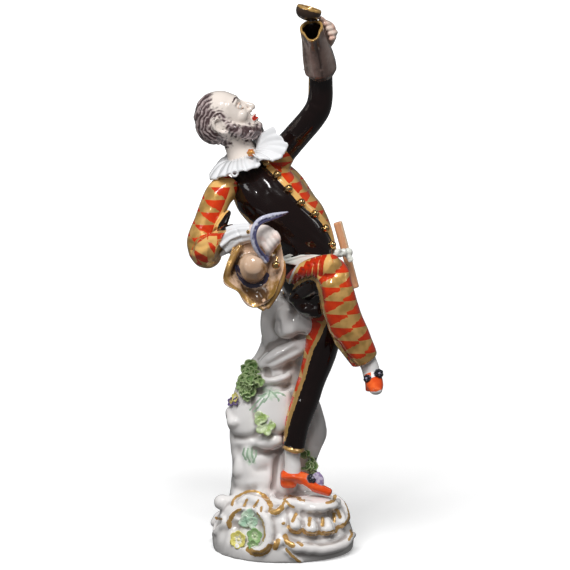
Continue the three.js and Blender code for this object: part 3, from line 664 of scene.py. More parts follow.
# The rock's blocks: a picture point, its depth, the half sizes, the lean and nod, and how square it is.
blocks = [
    (288, 322, -3.4, [4.2, 3.4, 5.8], 10, -18, 0.8),
    (306, 320, -3.0, [5.2, 4.4, 5.2], 24, -10, 0.85),
    (284, 354, -1.6, [9.6, 3.6, 3.4], -29, -25, 0.75),
    (270, 379, -1.6, [7.0, 3.4, 2.4], -14, -20, 0.8),
    (273, 409, -2.6, [5.9, 3.9, 7.8], 7, -10, 0.62),
    (240, 417.5, 0.4, [4.7, 4.1, 3.0], -10, 40, 0.55),
    (268, 441, -3.2, [4.7, 3.2, 2.7], -8, 32, 0.6),
    (244, 466, 0.0, [3.6, 4.6, 4.6], 6, -16, 0.7),
    (258, 479, -2.4, [5.0, 3.6, 4.4], -6, -20, 0.7),
]
stump_forms = [
    tube([at(*stop) for stop in trunk_line], trunk_wide, trunk_deep, sides=40, steps=50, ripple=weathered),
    tube([at(*stop) for stop in middle_line], [8.4, 7.0, 7.6, 7.4, 6.6], ripple=weathered),
    tube([at(*stop) for stop in rear_line], [5.6, 4.4, 5.2, 4.8, 5.0], ripple=weathered),
    tube(spots((277, 350, 2), (274, 326, 2), (276, 300, 1.5)), [4.2, 4.6, 4.6]),
    ball(at(-9.5, 8.0, 30.0), [6.0, 4.6, 8.0]),
    ball(at(-1.0, 8.6, 49.0), [6.0, 3.8, 8.5]),
]
for across, down, depth, sizes, lean, nod, square in blocks:
    stump_forms.append(ball(spot(across, down, depth), sizes, tilted(lean, nod), 36, 20, square))

base = Clay(base_forms + stump_forms, base_grain)
base.soften(2)
base.press([(239, 514), (250, 516), (258, 526), (256, 540), (245, 545), (236, 538), (235, 525)], 1.5, 1.0)
base.press([(246, 526), (247, 535)], 2.6, 1.6)
for notch in ([(247, 499), (243.5, 506)], [(258, 500), (253.5, 507.5)], [(262, 505), (261, 512)]):
    base.press(notch, 0.55, 0.6)
shell_notches = [
    [(296, 514), (292.5, 521)],
    [(310, 518), (309, 525)],
    [(322.7, 518.5), (322.5, 525.5)],
    [(334, 514), (334.5, 521)],
    [(337.5, 510.5), (340, 517)],
]
for notch in shell_notches:
    base.press(notch, 0.6, 0.8)
for valley in (
    [(303, 512), (303, 533)], [(317, 513), (320.5, 535)], [(330, 511), (337, 531)],
    [(288, 510), (287.5, 526)],
):
    base.press(valley, 0.7, 0.55)
base.press([(293, 511.5), (303, 515), (316, 516.5), (329, 514.5)], 0.9, 0.5)
base.press([(285, 535), (292, 539), (302, 542.5), (320, 544.5), (336, 542), (346, 536.5)], 0.55, 0.45)
base.press([(290, 533), (303, 536.5), (320, 538.5), (338, 534.5)], 0.8, 0.6)
for valley in (
    [(217, 525), (213, 545)], [(225, 530), (219, 552)], [(232, 540), (228, 556)], [(241, 552), (240, 562)]
):
    base.press(valley, 1.1, 0.4)

# Plain flutes go round the base's back, and the rock's back is rougher than its front.
flutes_round = 14
flute_depth = 0.3
hidden_share = 1 - base.facing(-0.2, 0.2)
turn_round = np.arctan2(base.points[:, 0], base.points[:, 1])
height_share = np.clip(base.points[:, 2] / base_height, 0, 1)
base.push(hidden_share * flute_depth * np.cos(turn_round * flutes_round) * np.sin(math.pi * height_share))
creases = [
    ([(257, 358), (263, 352), (271, 346), (281, 341), (292, 338), (303, 336)], 0.9, 0.9),
    ([(266, 372), (273, 375.5), (282, 373), (291, 367)], 1.1, 1.4),
    ([(257, 391.5), (268, 391), (278, 389.5), (290, 386)], 0.9, 1.1),
    ([(253, 386), (252, 398), (253.5, 412), (256, 424)], 0.9, 0.9),
    ([(227, 437), (240, 439), (252, 437), (258, 433)], 1.2, 1.1),
    ([(255, 450.5), (263, 453), (271, 453.5), (280, 449)], 1.0, 1.0),
    ([(277, 322), (279.5, 334)], 0.8, 0.7),
    ([(268, 364), (281, 358), (296, 350)], 1.2, 0.8),
    ([(268, 308), (270, 326), (268, 343)], 1.9, 0.7),
    ([(238, 449), (247, 446), (256, 455)], 1.5, 0.7),
    ([(250, 462), (256, 470), (266, 469)], 1.3, 0.6),
    ([(232, 486), (243, 490), (255, 488)], 1.3, 0.7),
    ([(281, 448), (277.5, 462), (275.5, 476), (273, 488)], 0.8, 1.1),
    ([(313, 410), (318, 425), (315, 445)], 1.5, 0.4),
    ([(292, 345), (282, 352), (268, 361)], 0.9, -0.35),
    ([(262, 397), (260, 410), (262, 424)], 1.6, 0.3),
]
for line, width, depth in creases:
    base.press(smooth_line(line, 4 * len(line)), width, depth)
# Painted shade: the hollows, creases and undersides of the base and rock are marked to be glazed darker.
base.mark("hollow", base.shade_depths())
above_base = np.clip((base.points[:, 2] - base_height) / 6, 0, 1)
rough_back = hidden_share * 0.35 * lumps(base.points, 7, 5)
base.push(above_base * (0.2 * lumps(base.points, 8, 3) + rough_back))
base.soften(2)
base.points[:, 2] = np.maximum(base.points[:, 2], 0)

gilt_edges = [
    (
        [
            (232, 505), (233, 501), (236.5, 496.8), (243.5, 493.2), (251, 491.2), (258.6, 492.2), (265, 497),
            (269.5, 503),
        ],
        0.42,
    ),
    ([(263.5, 495.5), (268, 500.5), (271, 505.5)], 0.75),
    ([(285.3, 497), (284, 502.5), (281, 508)], 0.45),
    ([(281.5, 508), (276.5, 512), (271, 510.6)], 0.95),
    ([(229.2, 526), (229.3, 521), (231, 516.5), (235, 512), (240, 509.8)], 0.5),
    ([(228.8, 522.5), (229.6, 526)], 0.85),
    ([(230.5, 519), (233, 515)], 0.7),
    ([(257, 513), (262, 521), (264, 528), (264.5, 536), (263, 541)], 0.3),
    ([(248.5, 549.5), (254, 553), (261, 553.5), (266.5, 550.5), (269.5, 546.5)], 1.0),
    ([(277.8, 541), (275, 548)], 0.85),
    ([(283.8, 523.3), (283.2, 523.8)], 0.5),
    ([(286.5, 501), (290, 505.5), (293.5, 507)], 0.4),
    ([(286, 498), (289.5, 496.5), (295, 496.6), (300, 498)], 0.36),
    ([(298, 499.2), (304, 500.4)], 0.4),
    ([(327, 502.8), (333.5, 500.5), (335, 496)], 0.5),
    ([(345, 500.5), (348.3, 508), (349.2, 516), (347, 523)], 0.42),
    ([(288.5, 527), (292, 531), (297.6, 532.3), (302.5, 530)], 0.6),
    ([(304.5, 532), (309, 533.6), (314.5, 533.8), (319.5, 532.4)], 0.65),
    ([(322, 533.4), (329, 533.2), (335.8, 530.8)], 0.65),
    ([(337, 527.6), (343, 525.4), (348, 521.6)], 0.6),
    ([(285.2, 536.5), (287, 541.5), (292.5, 545.5)], 0.85),
    ([(298, 542.5), (302, 545)], 0.5),
    ([(350.8, 530.5), (351.8, 534.5), (349, 539.5)], 0.42),
    ([(286, 549), (290, 553.6), (295.5, 558.6), (299.8, 562)], 0.45),
    ([(216, 518), (221.5, 519)], 0.4),
]
for line, half_width in gilt_edges:
    base.brush("gilt", smooth_line(line, 4 * len(line)), half_width)
for notch in shell_notches:
    base.brush("gilt", notch, 0.55)
for notch in ([(247, 499.5), (244, 505.5)], [(258, 500.5), (254, 507)], [(261.5, 507), (261, 511)]):
    base.brush("gilt", notch, 0.38)

grass_strokes = [
    [(270, 391), (268, 397), (264, 402)],
    [(272, 392), (276, 396), (279, 401)],
    [(263, 396), (257, 402), (250, 410)],
    [(264, 399), (260, 405), (254, 412)],
    [(266, 394), (262, 396), (258, 396)],
    [(274, 393), (280, 393), (285, 396)],
    [(248, 448), (247, 455), (250, 462)],
    [(252, 448), (252, 455), (254, 461)],
    [(244, 449), (243, 454), (246, 460)],
    [(256, 450), (256, 456), (253, 462)],
]
for stroke in grass_strokes:
    base.brush("grass", smooth_line(stroke, 9), 0.27)
for mossy in ([(267, 393), (274, 394)], [(249, 452), (251, 458)]):
    base.brush("moss", mossy, 1.5)

white_glaze = Glaze("white_glaze", ground=(0.88, 0.855, 0.84))
# Painted shade: the white glaze turns grey-brown in the hollows and on the undersides, where shade falls.
white_glaze.lay(white_glaze.ramp(white_glaze.read("hollow"), 0.03, 0.5, 0.0, 0.78), (0.34, 0.29, 0.27))
white_glaze.paint("moss", (0.62, 0.72, 0.60), ragged=0.9, edge=0.9)
white_glaze.paint("grass", (0.33, 0.46, 0.33), ragged=0.1)
white_glaze.gild("gilt")
fired("base", base, white_glaze.done())

# Leaves and flowers
# Small leaves and flowers of the same clay, each pressed by hand, stuck on with slip and painted. A leaf is
# a thin lobed sheet with a root behind it, and a flower's petals are one petal repeated round its heart.
leaf_thickness = 0.7
leaf_root = 2.2
vein_depth = 0.18


def sideways(axis, wanted=up):
    """Two directions square to an axis, the first one as near as it can be to the wanted one."""
    first = unit(wanted - (axis @ wanted) * axis)
    return first, np.cross(axis, first)


class Bunch:
    """Closed forms that are kept as they are, with the marks for their paint."""

    def __init__(self):
        self.points = np.empty((0, 3))
        self.faces = []
        self.marks = {}

    def add(self, form, **marks):
        corners, faces = form
        start = len(self.points)
        self.points = np.vstack([self.points, corners])
        self.faces += [tuple(start + corner for corner in face) for face in faces]
        for name, values in marks.items():
            old = self.marks.get(name, np.zeros(start))
            self.marks[name] = np.concatenate([old, np.broadcast_to(values, len(corners))])


def leaf(centre, normal, radius, lobes, turned=0.0, cup=0.5, depth=0.3, ruffle=0.25):
    """A lobed leaf that faces along normal, and how near each of its corners is to the edge."""
    first, second = sideways(normal)
    columns, rings, rings_below = lobes * 12, 6, 4
    turns = round_turns(columns)
    shares = np.concatenate([np.linspace(0.08, 1, rings), np.linspace(1, 0.35, rings_below)])
    lift = np.concatenate([np.zeros(rings), np.full(rings_below, -leaf_thickness)])
    lift[rings - 1] -= leaf_thickness * 0.4
    lift[rings] += leaf_thickness * 0.4
    lift[-1] -= leaf_root
    reach = radius * (1 - depth + depth * np.abs(np.cos(lobes * (turns + turned) / 2)) ** 0.7)
    height = cup * radius * shares[:, None] ** 2 + lift[:, None]
    height = height + ruffle * shares[:, None] ** 3 * np.cos(lobes * 2 * (turns + turned))
    height = height - vein_depth * (shares[:, None] < 0.9) * np.cos(lobes * (turns + turned)) ** 8
    across = (shares[:, None] * reach)[..., None]
    grid = centre + across * (np.cos(turns)[:, None] * first + np.sin(turns)[:, None] * second)
    form = skin(grid + height[..., None] * normal)
    edge = np.concatenate([np.repeat(shares, columns), [0, 0]])
    return form, edge


leaves = Bunch()
toward_left = towards(-0.5, -0.85, 0.2)
moss_outline = [
    (247, 366), (252, 362), (256, 371), (260, 383), (257, 391), (249, 395), (241, 398), (240, 389),
    (243, 376),
]
sprig_outline = [(304, 453), (310, 452), (314, 458), (318, 466), (317, 477), (312, 474), (308, 464)]
chance = np.random.default_rng(8)
moss_places = []
for outline, count in ((moss_outline, 34), (sprig_outline, 10)):
    lowest, highest = np.min(outline, axis=0), np.max(outline, axis=0)
    tried = chance.uniform(lowest, highest, (count * 12, 2))
    kept = []
    for point in tried[inside(tried, outline)]:
        if len(kept) < count and all(np.linalg.norm(point - other) > 2.0 for other in kept):
            kept.append(point)
    moss_places += kept
for point in moss_places:
    face = unit(toward_left + chance.normal(0, 0.35, 3))
    place = base.place_at([point])[0] + face * chance.uniform(0.2, 1.3)
    form, edge = leaf(place, face, chance.uniform(1.5, 2.2), 3, chance.uniform(0, 6), 0.55, ruffle=0.28)
    leaves.add(form, edge=edge, pale=0.0, fresh=0.0)
pale_leaves = [
    (248, 516, 2.6, 3, 0.5, toward_left, 0.0),
    (244, 522, 2.2, 3, 2.2, toward_left, 0.0),
    (252.5, 521, 2.2, 3, 1.0, towards(-0.3, -0.95, 0.15), 0.0),
    (265, 427, 3.4, 5, 0.3, towards(0.05, -1, 0.25), 1.0),
    (259.5, 418, 2.4, 3, 1.6, towards(-0.1, -1, 0.2), 1.0),
]
for across, down, radius, lobes, turned, normal, fresh in pale_leaves:
    place = base.place_at([(across, down)])[0]
    form, edge = leaf(place + normal * 0.3, normal, radius, lobes, turned, 0.25, depth=0.35)
    leaves.add(form, edge=edge, pale=1.0 - fresh, fresh=fresh)

leaf_glaze = Glaze("leaf_glaze", ground=(0.12, 0.23, 0.07))
leaf_glaze.mottle((0.25, 0.39, 0.14), 700.0, 3.0, 0.38, 0.58)
leaf_glaze.lay(leaf_glaze.ramp(leaf_glaze.read("edge"), 0.55, 1.0, 0.0, 0.6), (0.56, 0.66, 0.36))
pale_green = leaf_glaze.mix(leaf_glaze.patches(260.0, 2.0, 0.4, 0.6), (0.38, 0.58, 0.42), (0.60, 0.72, 0.58))
leaf_glaze.lay(leaf_glaze.read("pale"), pale_green)
fresh_green = leaf_glaze.mix(
    leaf_glaze.patches(300.0, 2.0, 0.35, 0.6), (0.36, 0.50, 0.16), (0.62, 0.72, 0.46)
)
leaf_glaze.lay(leaf_glaze.read("fresh"), fresh_green)
fired("leaves", leaves, leaf_glaze.done())


def petal_form(length=1.0, width=0.62, cup=0.3):
    """One petal as a small closed sheet that points along X."""
    rings, columns = 6, 12
    shares = np.linspace(0, 1, rings)
    turns = round_turns(columns)
    grid = np.zeros((rings, columns, 3))
    for ring, share in enumerate(shares):
        half = width * (math.sin(math.pi * min(0.12 + share * 0.8, 1.0)) ** 0.6)
        grid[ring, :, 0] = share * length + 0.08 * np.cos(turns) ** 2
        grid[ring, :, 1] = half * np.sin(turns)
        grid[ring, :, 2] = cup * share**2 + 0.12 * half * np.abs(np.sin(turns)) * 2 + 0.09 * np.cos(turns)
    return skin(grid)


def node_tree(name, sizes, build):
    """A Geometry Nodes tree with named inputs that ends in real faces with a material."""
    tree = bpy.data.node_groups.new(name, "GeometryNodeTree")
    join = tree.links.new
    tree.interface.new_socket("Geometry", in_out="INPUT", socket_type="NodeSocketGeometry")
    for label, kind, value in sizes:
        socket = tree.interface.new_socket(label, in_out="INPUT", socket_type=kind)
        if value is not None:
            socket.default_value = value
    tree.interface.new_socket("Geometry", in_out="OUTPUT", socket_type="NodeSocketGeometry")
    given = tree.nodes.new("NodeGroupInput")
    result = build(tree, given)
    real = tree.nodes.new("GeometryNodeRealizeInstances")
    join(result, real.inputs[0])
    coat = tree.nodes.new("GeometryNodeSetMaterial")
    join(real.outputs[0], coat.inputs["Geometry"])
    join(given.outputs["Finish"], coat.inputs["Material"])
    answer = tree.nodes.new("NodeGroupOutput")
    join(coat.outputs["Geometry"], answer.inputs[0])
    return tree


def grow(tree, mesh, **values):
    """Runs a tree on a mesh and returns the plain mesh that it makes."""
    holder = bpy.data.objects.new("holder", mesh)
    scene_objects.link(holder)
    modifier = holder.modifiers.new("grow", "NODES")
    modifier.node_group = tree
    for item in tree.interface.items_tree:
        if item.in_out == "INPUT" and item.name in values:
            modifier[item.identifier] = values[item.name]
    grown = plain_mesh(holder)
    holder.modifiers.remove(modifier)
    bpy.data.objects.remove(holder)
    return grown


def flower_nodes(tree, given):
    """Petals set on a ring round the flower's heart, each turned to point outwards."""
    join = tree.links.new
    ring = tree.nodes.new("GeometryNodeMeshCircle")
    join(given.outputs["Petals"], ring.inputs["Vertices"])
    join(given.outputs["Heart"], ring.inputs["Radius"])
    place = tree.nodes.new("GeometryNodeInputPosition")
    turn = tree.nodes.new("FunctionNodeAlignRotationToVector")
    turn.axis = "X"
    turn.pivot_axis = "Z"
    join(place.outputs[0], turn.inputs["Vector"])
    petal = tree.nodes.new("GeometryNodeObjectInfo")
    join(given.outputs["Petal"], petal.inputs["Object"])
    size = tree.nodes.new("ShaderNodeCombineXYZ")
    for axis in range(3):
        join(given.outputs["Length"], size.inputs[axis])
    put = tree.nodes.new("GeometryNodeInstanceOnPoints")
    join(ring.outputs[0], put.inputs["Points"])
    join(petal.outputs["Geometry"], put.inputs["Instance"])
    join(turn.outputs["Rotation"], put.inputs["Rotation"])
    join(size.outputs[0], put.inputs["Scale"])
    return put.outputs["Instances"]


flower_tree = node_tree(
    "flower",
    [
        ("Petals", "NodeSocketInt", 5),
        ("Heart", "NodeSocketFloat", 0.0004),
        ("Length", "NodeSocketFloat", 0.0025),
        ("Petal", "NodeSocketObject", None),
        ("Finish", "NodeSocketMaterial", None),
    ],
    flower_nodes,
)
petal_mesh = bpy.data.meshes.new("petal")
petal_corners, petal_faces = petal_form()
petal_mesh.from_pydata(petal_corners.tolist(), [], petal_faces)
petal_object = bpy.data.objects.new("petal", petal_mesh)
scene_objects.link(petal_object)


def petal_glaze(name, inner, outer):
    """Petal paint that changes colour away from the flower's heart."""
    made = Glaze(name, ground=inner)
    made.paint("heart_gap", outer, ragged=0.3, edge=0.5)
    return made.done()


yellow_petals = petal_glaze("yellow_petals", (0.9, 0.88, 0.78), (0.80, 0.72, 0.20))
green_petals = petal_glaze("green_petals", (0.66, 0.76, 0.50), (0.32, 0.52, 0.22))
violet_petals = petal_glaze("violet_petals", (0.78, 0.68, 0.15), (0.16, 0.11, 0.26))
pansy_side = towards(-0.75, -0.6, 0.25)

# Each flower's picture point, the way it faces, its petals, their length and where their colour changes.
flowers = [
    ("yellow_flower", (238.8, 539.2), toward_left, 6, 2.5, yellow_petals, 1.3),
    ("green_flower", (254.5, 535), towards(-0.3, -0.95, 0.1), 5, 2.2, green_petals, 1.2),
    ("lower_green_flower", (253, 544), towards(-0.3, -0.95, -0.1), 5, 1.5, green_petals, 0.6),
    ("yellow_pansy", (236, 397.5), pansy_side, 5, 1.25, yellow_petals, 0.5),
    ("violet_pansy", (231.5, 401.5), pansy_side, 5, 1.2, violet_petals, 0.5),
    ("dark_pansy", (236.5, 402), pansy_side, 5, 1.1, violet_petals, 0.4),
]
for name, point, normal, petals, length, finish, change in flowers:
    mesh = grow(
        flower_tree,
        bpy.data.meshes.new(name),
        Petals=petals,
        Heart=0.0003,
        Length=length * mm,
        Petal=petal_object,
        Finish=finish,
    )
    corners = np.empty(len(mesh.vertices) * 3)
    mesh.vertices.foreach_get("co", corners)
    corners = corners.reshape(-1, 3) / mm
    gap = change - np.linalg.norm(corners[:, :2], axis=1)
    mesh.attributes.new("heart_gap", "FLOAT", "POINT").data.foreach_set("value", gap)
    first, second = sideways(normal)
    place = base.place_at([point])[0] + normal * 0.5
    turned = place + corners[:, :1] * first + corners[:, 1:2] * second + corners[:, 2:] * normal
    mesh.vertices.foreach_set("co", (turned * mm).ravel())
    heart = Bunch()
    heart.add(tube([place - normal * 2.0, place + normal * 0.2], [0.2 * length, 0.26 * length], sides=12))
    settle(name, mesh, finish)
    fired(name + "_heart", heart, finish)
bpy.data.objects.remove(petal_object)

# Standing leg
# The leg that carries the weight, in trousers that are black in front and chequered down the side, with a
# gilt seam and hem. The costume's checks are red triangles on ochre, painted before the last firing.
black = (0.0075, 0.0026, 0.0024)
red = (0.58, 0.026, 0.003)
ochre = (0.80, 0.47, 0.15)


def chequer(clay, centres, columns, height, turned, start, side=-1, level_above=0.0):
    """Marks where each corner lies on a sleeve: in checks round it, and in rows. The rows are level, and
    follow the limb only where it lies lower than level_above."""
    line = smooth_line(centres, 12 * len(centres))
    _, along, _ = line_distance(clay.points, line)
    walked = np.concatenate([[0], np.cumsum(np.linalg.norm(np.diff(line, axis=0), axis=1))])
    axes = unit(np.gradient(line, axis=0))
    middle = np.column_stack([np.interp(along, walked, line[:, part]) for part in range(3)])
    axis = unit(np.column_stack([np.interp(along, walked, axes[:, part]) for part in range(3)]))
    ahead = unit(viewer - (axis @ viewer)[:, None] * axis)
    out = clay.points - middle
    turn = np.arctan2((out * np.cross(axis, ahead)).sum(1), (out * ahead).sum(1))
    around = side * turn / (2 * math.pi) * columns + turned
    rows = np.where(clay.points[:, 2] > level_above, -clay.points[:, 2], along) / height + start
    clay.mark("checks", np.column_stack([around, rows, np.zeros(len(rows))]))


gold_metal = 0.35
gold_roughness = 0.34


class Costume(Glaze):
    """Painted cloth: each check is halved from corner to corner into a red and a gold triangle, and the
    colours change places from one column to the next, so that lozenges join across them."""

    def __init__(self, name, less_red):
        super().__init__(name, ground=ochre, roughness=gold_roughness, metal=gold_metal)
        place = self.node("ShaderNodeAttribute")
        place.attribute_name = "checks"
        parts = self.node("ShaderNodeSeparateXYZ")
        self.join(place.outputs["Vector"], parts.inputs[0])
        column = self.sum("FLOOR", parts.outputs[0])
        across = self.sum("FRACT", parts.outputs[0])
        down = self.sum("FRACT", parts.outputs[1])
        odd = self.sum("FRACT", self.sum("MULTIPLY", column, 0.5))
        swapped = self.sum("MULTIPLY_ADD", odd, -4.0, 1.0)
        halved = self.sum("SUBTRACT", self.sum("SUBTRACT", 1.0, down), across)
        stray = self.patches(700.0, 2.0, 0.3, 0.7, -0.05 - less_red, 0.05 - less_red)
        inside_red = self.sum("ADD", self.sum("MULTIPLY", halved, swapped), stray)
        share = self.ramp(inside_red, -0.07, -0.01)
        # The ochre ground darkens towards olive brown in soft random patches.
        patchy_ochre = self.mix(self.patches(260.0, 2.0, 0.4, 0.66), ochre, (0.52, 0.30, 0.08))
        self.lay(1.0, patchy_ochre, gold_metal, gold_roughness)
        tone = self.mix(self.patches(300.0, 2.0, 0.3, 0.7), red, (0.68, 0.050, 0.006))
        self.lay(share, tone, 0.0, 0.25)


def dyed(name, *paints, less_red=0.0):
    """A costume glaze with further paints over its checks."""
    made = Costume(name, less_red)
    for mark, colour in paints:
        made.paint(mark, colour, ragged=0.05)
    made.gild("gilt")
    return made.done()


standing_line = [
    at(9.6, -0.5, 68), at(13.0, -2.4, 58), at(12.2, -4, 48.6), at(9.1, -5, 38.6), at(6.9, -5.5, 31.6),
    at(4.7, -6, 25), at(3.4, -6, 17.2),
]
leg_side = towards(1, -0.2, 0)
standing = Clay(
    [
        tube(
            standing_line,
            [8.2, 6.0, 5.4, 4.4, 4.4, 4.0, 3.6],
            [7.8, 6.0, 5.3, 4.4, 4.4, 4.0, 3.6],
            front=leg_side,
            sides=40,
            dome=0.1,
        ),
        tube(
            spots((283.5, 447.5, -6), (288, 449, -9.2), (297, 451.6, -9), (303.5, 450, -5.8)),
            [0.6, 0.7, 0.8, 0.6],
        ),
    ],
    0.3,
)
standing_folds = [
    ([(325, 325), (318, 345), (311, 368), (304, 392), (297, 420)], 0.9, 0.3),
    ([(332, 330), (326, 350), (318, 372), (310, 396)], 0.9, 0.25),
    ([(338, 338), (330, 360), (322, 380)], 1.0, -0.3),
    ([(300, 402), (293, 425), (289, 442)], 0.8, -0.25),
    ([(306, 410), (300, 432), (298, 447)], 0.9, 0.3),
    ([(309, 350), (303, 366), (299, 380)], 0.8, 0.3),
]
for line, width, depth in standing_folds:
    standing.press(line, width, depth)
standing.push(0.05 * lumps(standing.points, 5, 11))
chequer(standing, standing_line, columns=4, height=6.2, turned=-0.367, start=0.32, side=1)
leg_seam = [
    (328, 314), (320.5, 332), (310.5, 353), (303.5, 378), (295, 401), (288, 423), (284, 440), (282, 452)
]
standing.mark("black", standing.beyond(smooth_line(leg_seam, 40)) * -1)
standing.brush("gilt", smooth_line(leg_seam[:-1], 40), 0.62)
standing.brush(
    "gilt", smooth_line([(279, 446), (284, 448.4), (292, 451), (299, 452), (306, 451)], 20), 0.85, False
)
fired("standing_trousers", standing, dyed("standing_cloth", ("black", black), less_red=-0.05))

# Stockings and shoes
# White stockings and low red shoes with heels, their soles left white. Each instep has a black rosette.
standing_stocking = Clay(
    [tube([at(2.9, -6, 18.6), at(3.0, -6, 13.6), at(3.1, -6.1, 8.0)], [2.95, 2.6, 2.8])], 0.3
)
raised_stocking = Clay(
    [tube([at(25.4, -16.5, 49.6), at(27.3, -16.5, 45.6), at(28.3, -17, 42.0)], [3.1, 2.8, 2.8])], 0.3
)
plain_glaze = Glaze("plain_glaze").done()
for name, clay in (("standing_stocking", standing_stocking), ("raised_stocking", raised_stocking)):
    clay.push(0.05 * lumps(clay.points, 3, 21))
    fired(name, clay, plain_glaze)

standing_shoe = Clay(
    [
        tube(
            spots(
                (284, 476, -6), (294, 476.5, -6.2), (304, 479, -7), (315, 486.5, -8.2), (329.5, 492.5, -9)
            ),
            [2.7, 2.9, 2.8, 2.6, 1.7],
            [1.9, 1.9, 2.1, 1.8, 1.3],
            front=towards(0.15, 0, 1),
            sides=30,
        ),
        ball(spot(288.6, 478.6, -6), [2.75, 2.6, 2.9], columns=30, rings=18, square=0.5),
        tube(
            spots((283.4, 475, -6), (294, 475.4, -6.4), (304, 478, -7.4)),
            [3.5, 3.6, 2.6], [1.5, 1.5, 1.4], front=towards(0.15, 0, 1),
        ),
    ],
    0.22,
)
standing_shoe.fill(
    "white_paint",
    [(297.2, 492), (298.5, 484.5), (303, 484.3), (309, 488.5), (316, 495), (322, 499), (300, 500)],
)
raised_shoe = Clay(
    [
        tube(
            [at(28.2, -16.4, 42.6), at(28.5, -18.6, 41.6), at(28.9, -21, 40.2), at(29.2, -24, 39.0)],
            [2.9, 2.9, 2.7, 1.9],
            [2.9, 2.7, 2.1, 1.3],
            front=towards(0, -0.3, 1),
        ),
        tube([at(28.2, -16.2, 41.4), at(28.3, -16.6, 37.6)], [2.4, 2.2], dome=0.1),
    ],
    0.24,
)
raised_shoe.fill("white_paint", [(362, 394), (367, 391.6), (376, 391.6), (386, 388), (386, 400), (366, 400)])
raised_shoe.fill("white_paint", [(371, 366), (375.5, 366), (376, 376.5), (371, 378)])
for name, clay in (("standing_shoe", standing_shoe), ("raised_shoe", raised_shoe)):
    leather = Glaze(name + "_red", ground=(0.78, 0.075, 0.010))
    leather.mottle((0.88, 0.15, 0.03), 300.0, 2.0, 0.4, 0.7)
    leather.paint("white_paint", white, ragged=0.05)
    fired(name, clay, leather.done())

rosettes = Bunch()
for centre, normal, radius in (
    (spot(311.5, 479, -9.0), towards(0.5, -0.6, 0.6), 1.75),
    (spot(378.7, 373.6, -20.2), towards(0.3, -0.9, 0.3), 1.6),
    (spot(367.4, 378.6, -20.9), towards(-0.5, -0.8, 0.2), 1.35),
):
    form, edge = leaf(centre, normal, radius, 8, 0.3, 0.1, depth=0.1, ruffle=0.16)
    rosettes.add(form, edge=edge)
    first, second = sideways(normal)
    for turn in range(6):
        fold = 0.55 * radius * (math.cos(turn * math.pi / 3) * first + math.sin(turn * math.pi / 3) * second)
        loop = ball(centre + fold + normal * 0.25, [0.42 * radius] * 3, columns=14, rings=8)
        rosettes.add(loop, edge=0.2)
    rosettes.add(ball(centre + normal * 0.7, [0.4] * 3, columns=14, rings=8), edge=1.0)
rosette_glaze = Glaze("rosette_glaze", ground=(0.012, 0.012, 0.02))
rosette_glaze.lay(rosette_glaze.ramp(rosette_glaze.read("edge"), 0.93, 1.0, 0.0, 0.8), (0.45, 0.42, 0.55))
fired("rosettes", rosettes, rosette_glaze.done())
tongue = Clay(
    [tube(spots((316, 474, -8.4), (319, 480, -8.8), (320, 486, -9)), [1.4, 1.7, 1.2], [0.8, 0.8, 0.7])], 0.25
)
tongue_glaze = Glaze("tongue_glaze", ground=(0.62, 0.55, 0.68))
tongue_glaze.mottle((0.3, 0.22, 0.4), 900.0, 2.0, 0.45, 0.6)
fired("tongue", tongue, tongue_glaze.done())

# Raised leg
# The other leg is thrown up over the knee. Its trousers are chequered outside and black underneath,
# gathered in pleats over the thigh, with a gilt seam from the crotch to the hem.
raised_line = [
    at(7.4, 3.2, 66.2), at(10.8, -6, 69.0), at(14.6, -14.5, 74.2), at(16.3, -19.4, 71.4),
    at(18.4, -19.2, 63.4), at(21.3, -18, 56), at(24.2, -17, 50.6), at(25.7, -16.5, 47.8),
]
shin_front = towards(0.9, -0.3, 0.5)
raised = Clay(
    [
        tube(
            raised_line,
            [8.2, 8.0, 6.2, 5.5, 5.7, 5.7, 5.0, 4.5],
            front=shin_front,
            sides=44,
            dome=0.15,
        ),
        tube(spots((292, 279, -6), (303, 272, -12), (318, 268, -17), (332, 267, -20)), [2.2, 3.0, 3.8, 4.2]),
        tube(
            spots((295, 295, -8), (305, 304, -9.6), (315, 310, -10.4), (319, 304, -11)), [2.4, 3.4, 2.9, 2.2]
        ),
    ],
    0.3,
)
thigh_pleats = [
    [(291, 283), (289, 291)],
    [(296, 276), (294.5, 287)],
    [(302, 270.5), (299.5, 283)],
    [(307.5, 266.5), (305.5, 280)],
    [(313.2, 264), (312, 278)],
    [(319, 262.5), (318, 275)],
]
raised_folds = [
    ([(288, 293), (300, 284), (313, 281), (319, 290), (321, 303)], 1.2, 0.7),
    ([(290, 300), (303, 296), (315, 288)], 1.0, -0.5),
    ([(296, 305), (306, 303), (317, 297)], 0.9, 0.6),
    ([(303, 311), (312, 311), (320, 307)], 0.9, -0.4),
    ([(333, 290), (334, 305), (338, 322)], 1.5, 0.35),
    ([(346, 275), (350, 292), (354, 310)], 1.6, -0.3),
    ([(340, 330), (348, 342), (356, 352)], 1.2, 0.3),
    ([(354, 330), (362, 342), (368, 352)], 1.3, -0.25),
    ([(334, 345), (343, 358), (352, 370)], 1.7, 1.1),
    ([(331, 262), (340, 264), (346, 272)], 1.6, -0.4),
]
for pleat in thigh_pleats:
    raised.press(pleat, 0.55, 0.5)
raised.fold(raised_folds, 20)
raised.push(0.05 * lumps(raised.points, 5, 12))
chequer(raised, raised_line, columns=4, height=4.3, turned=0.82, start=0.95)
raised_seam = [
    (280, 296), (286, 292), (291, 289), (302, 280.5), (310, 278), (316, 280.5), (319.5, 287), (321, 297),
    (322.5, 307), (325, 318), (329, 330), (336.5, 343), (346, 356), (352, 365.5),
]
raised.mark("black", raised.beyond(smooth_line(raised_seam, 70)))
raised.brush("gilt", smooth_line(raised_seam[1:-1], 70), 0.62)
raised.brush("gilt", smooth_line([(284, 284), (286.5, 289), (289.5, 293)], 9), 0.5)
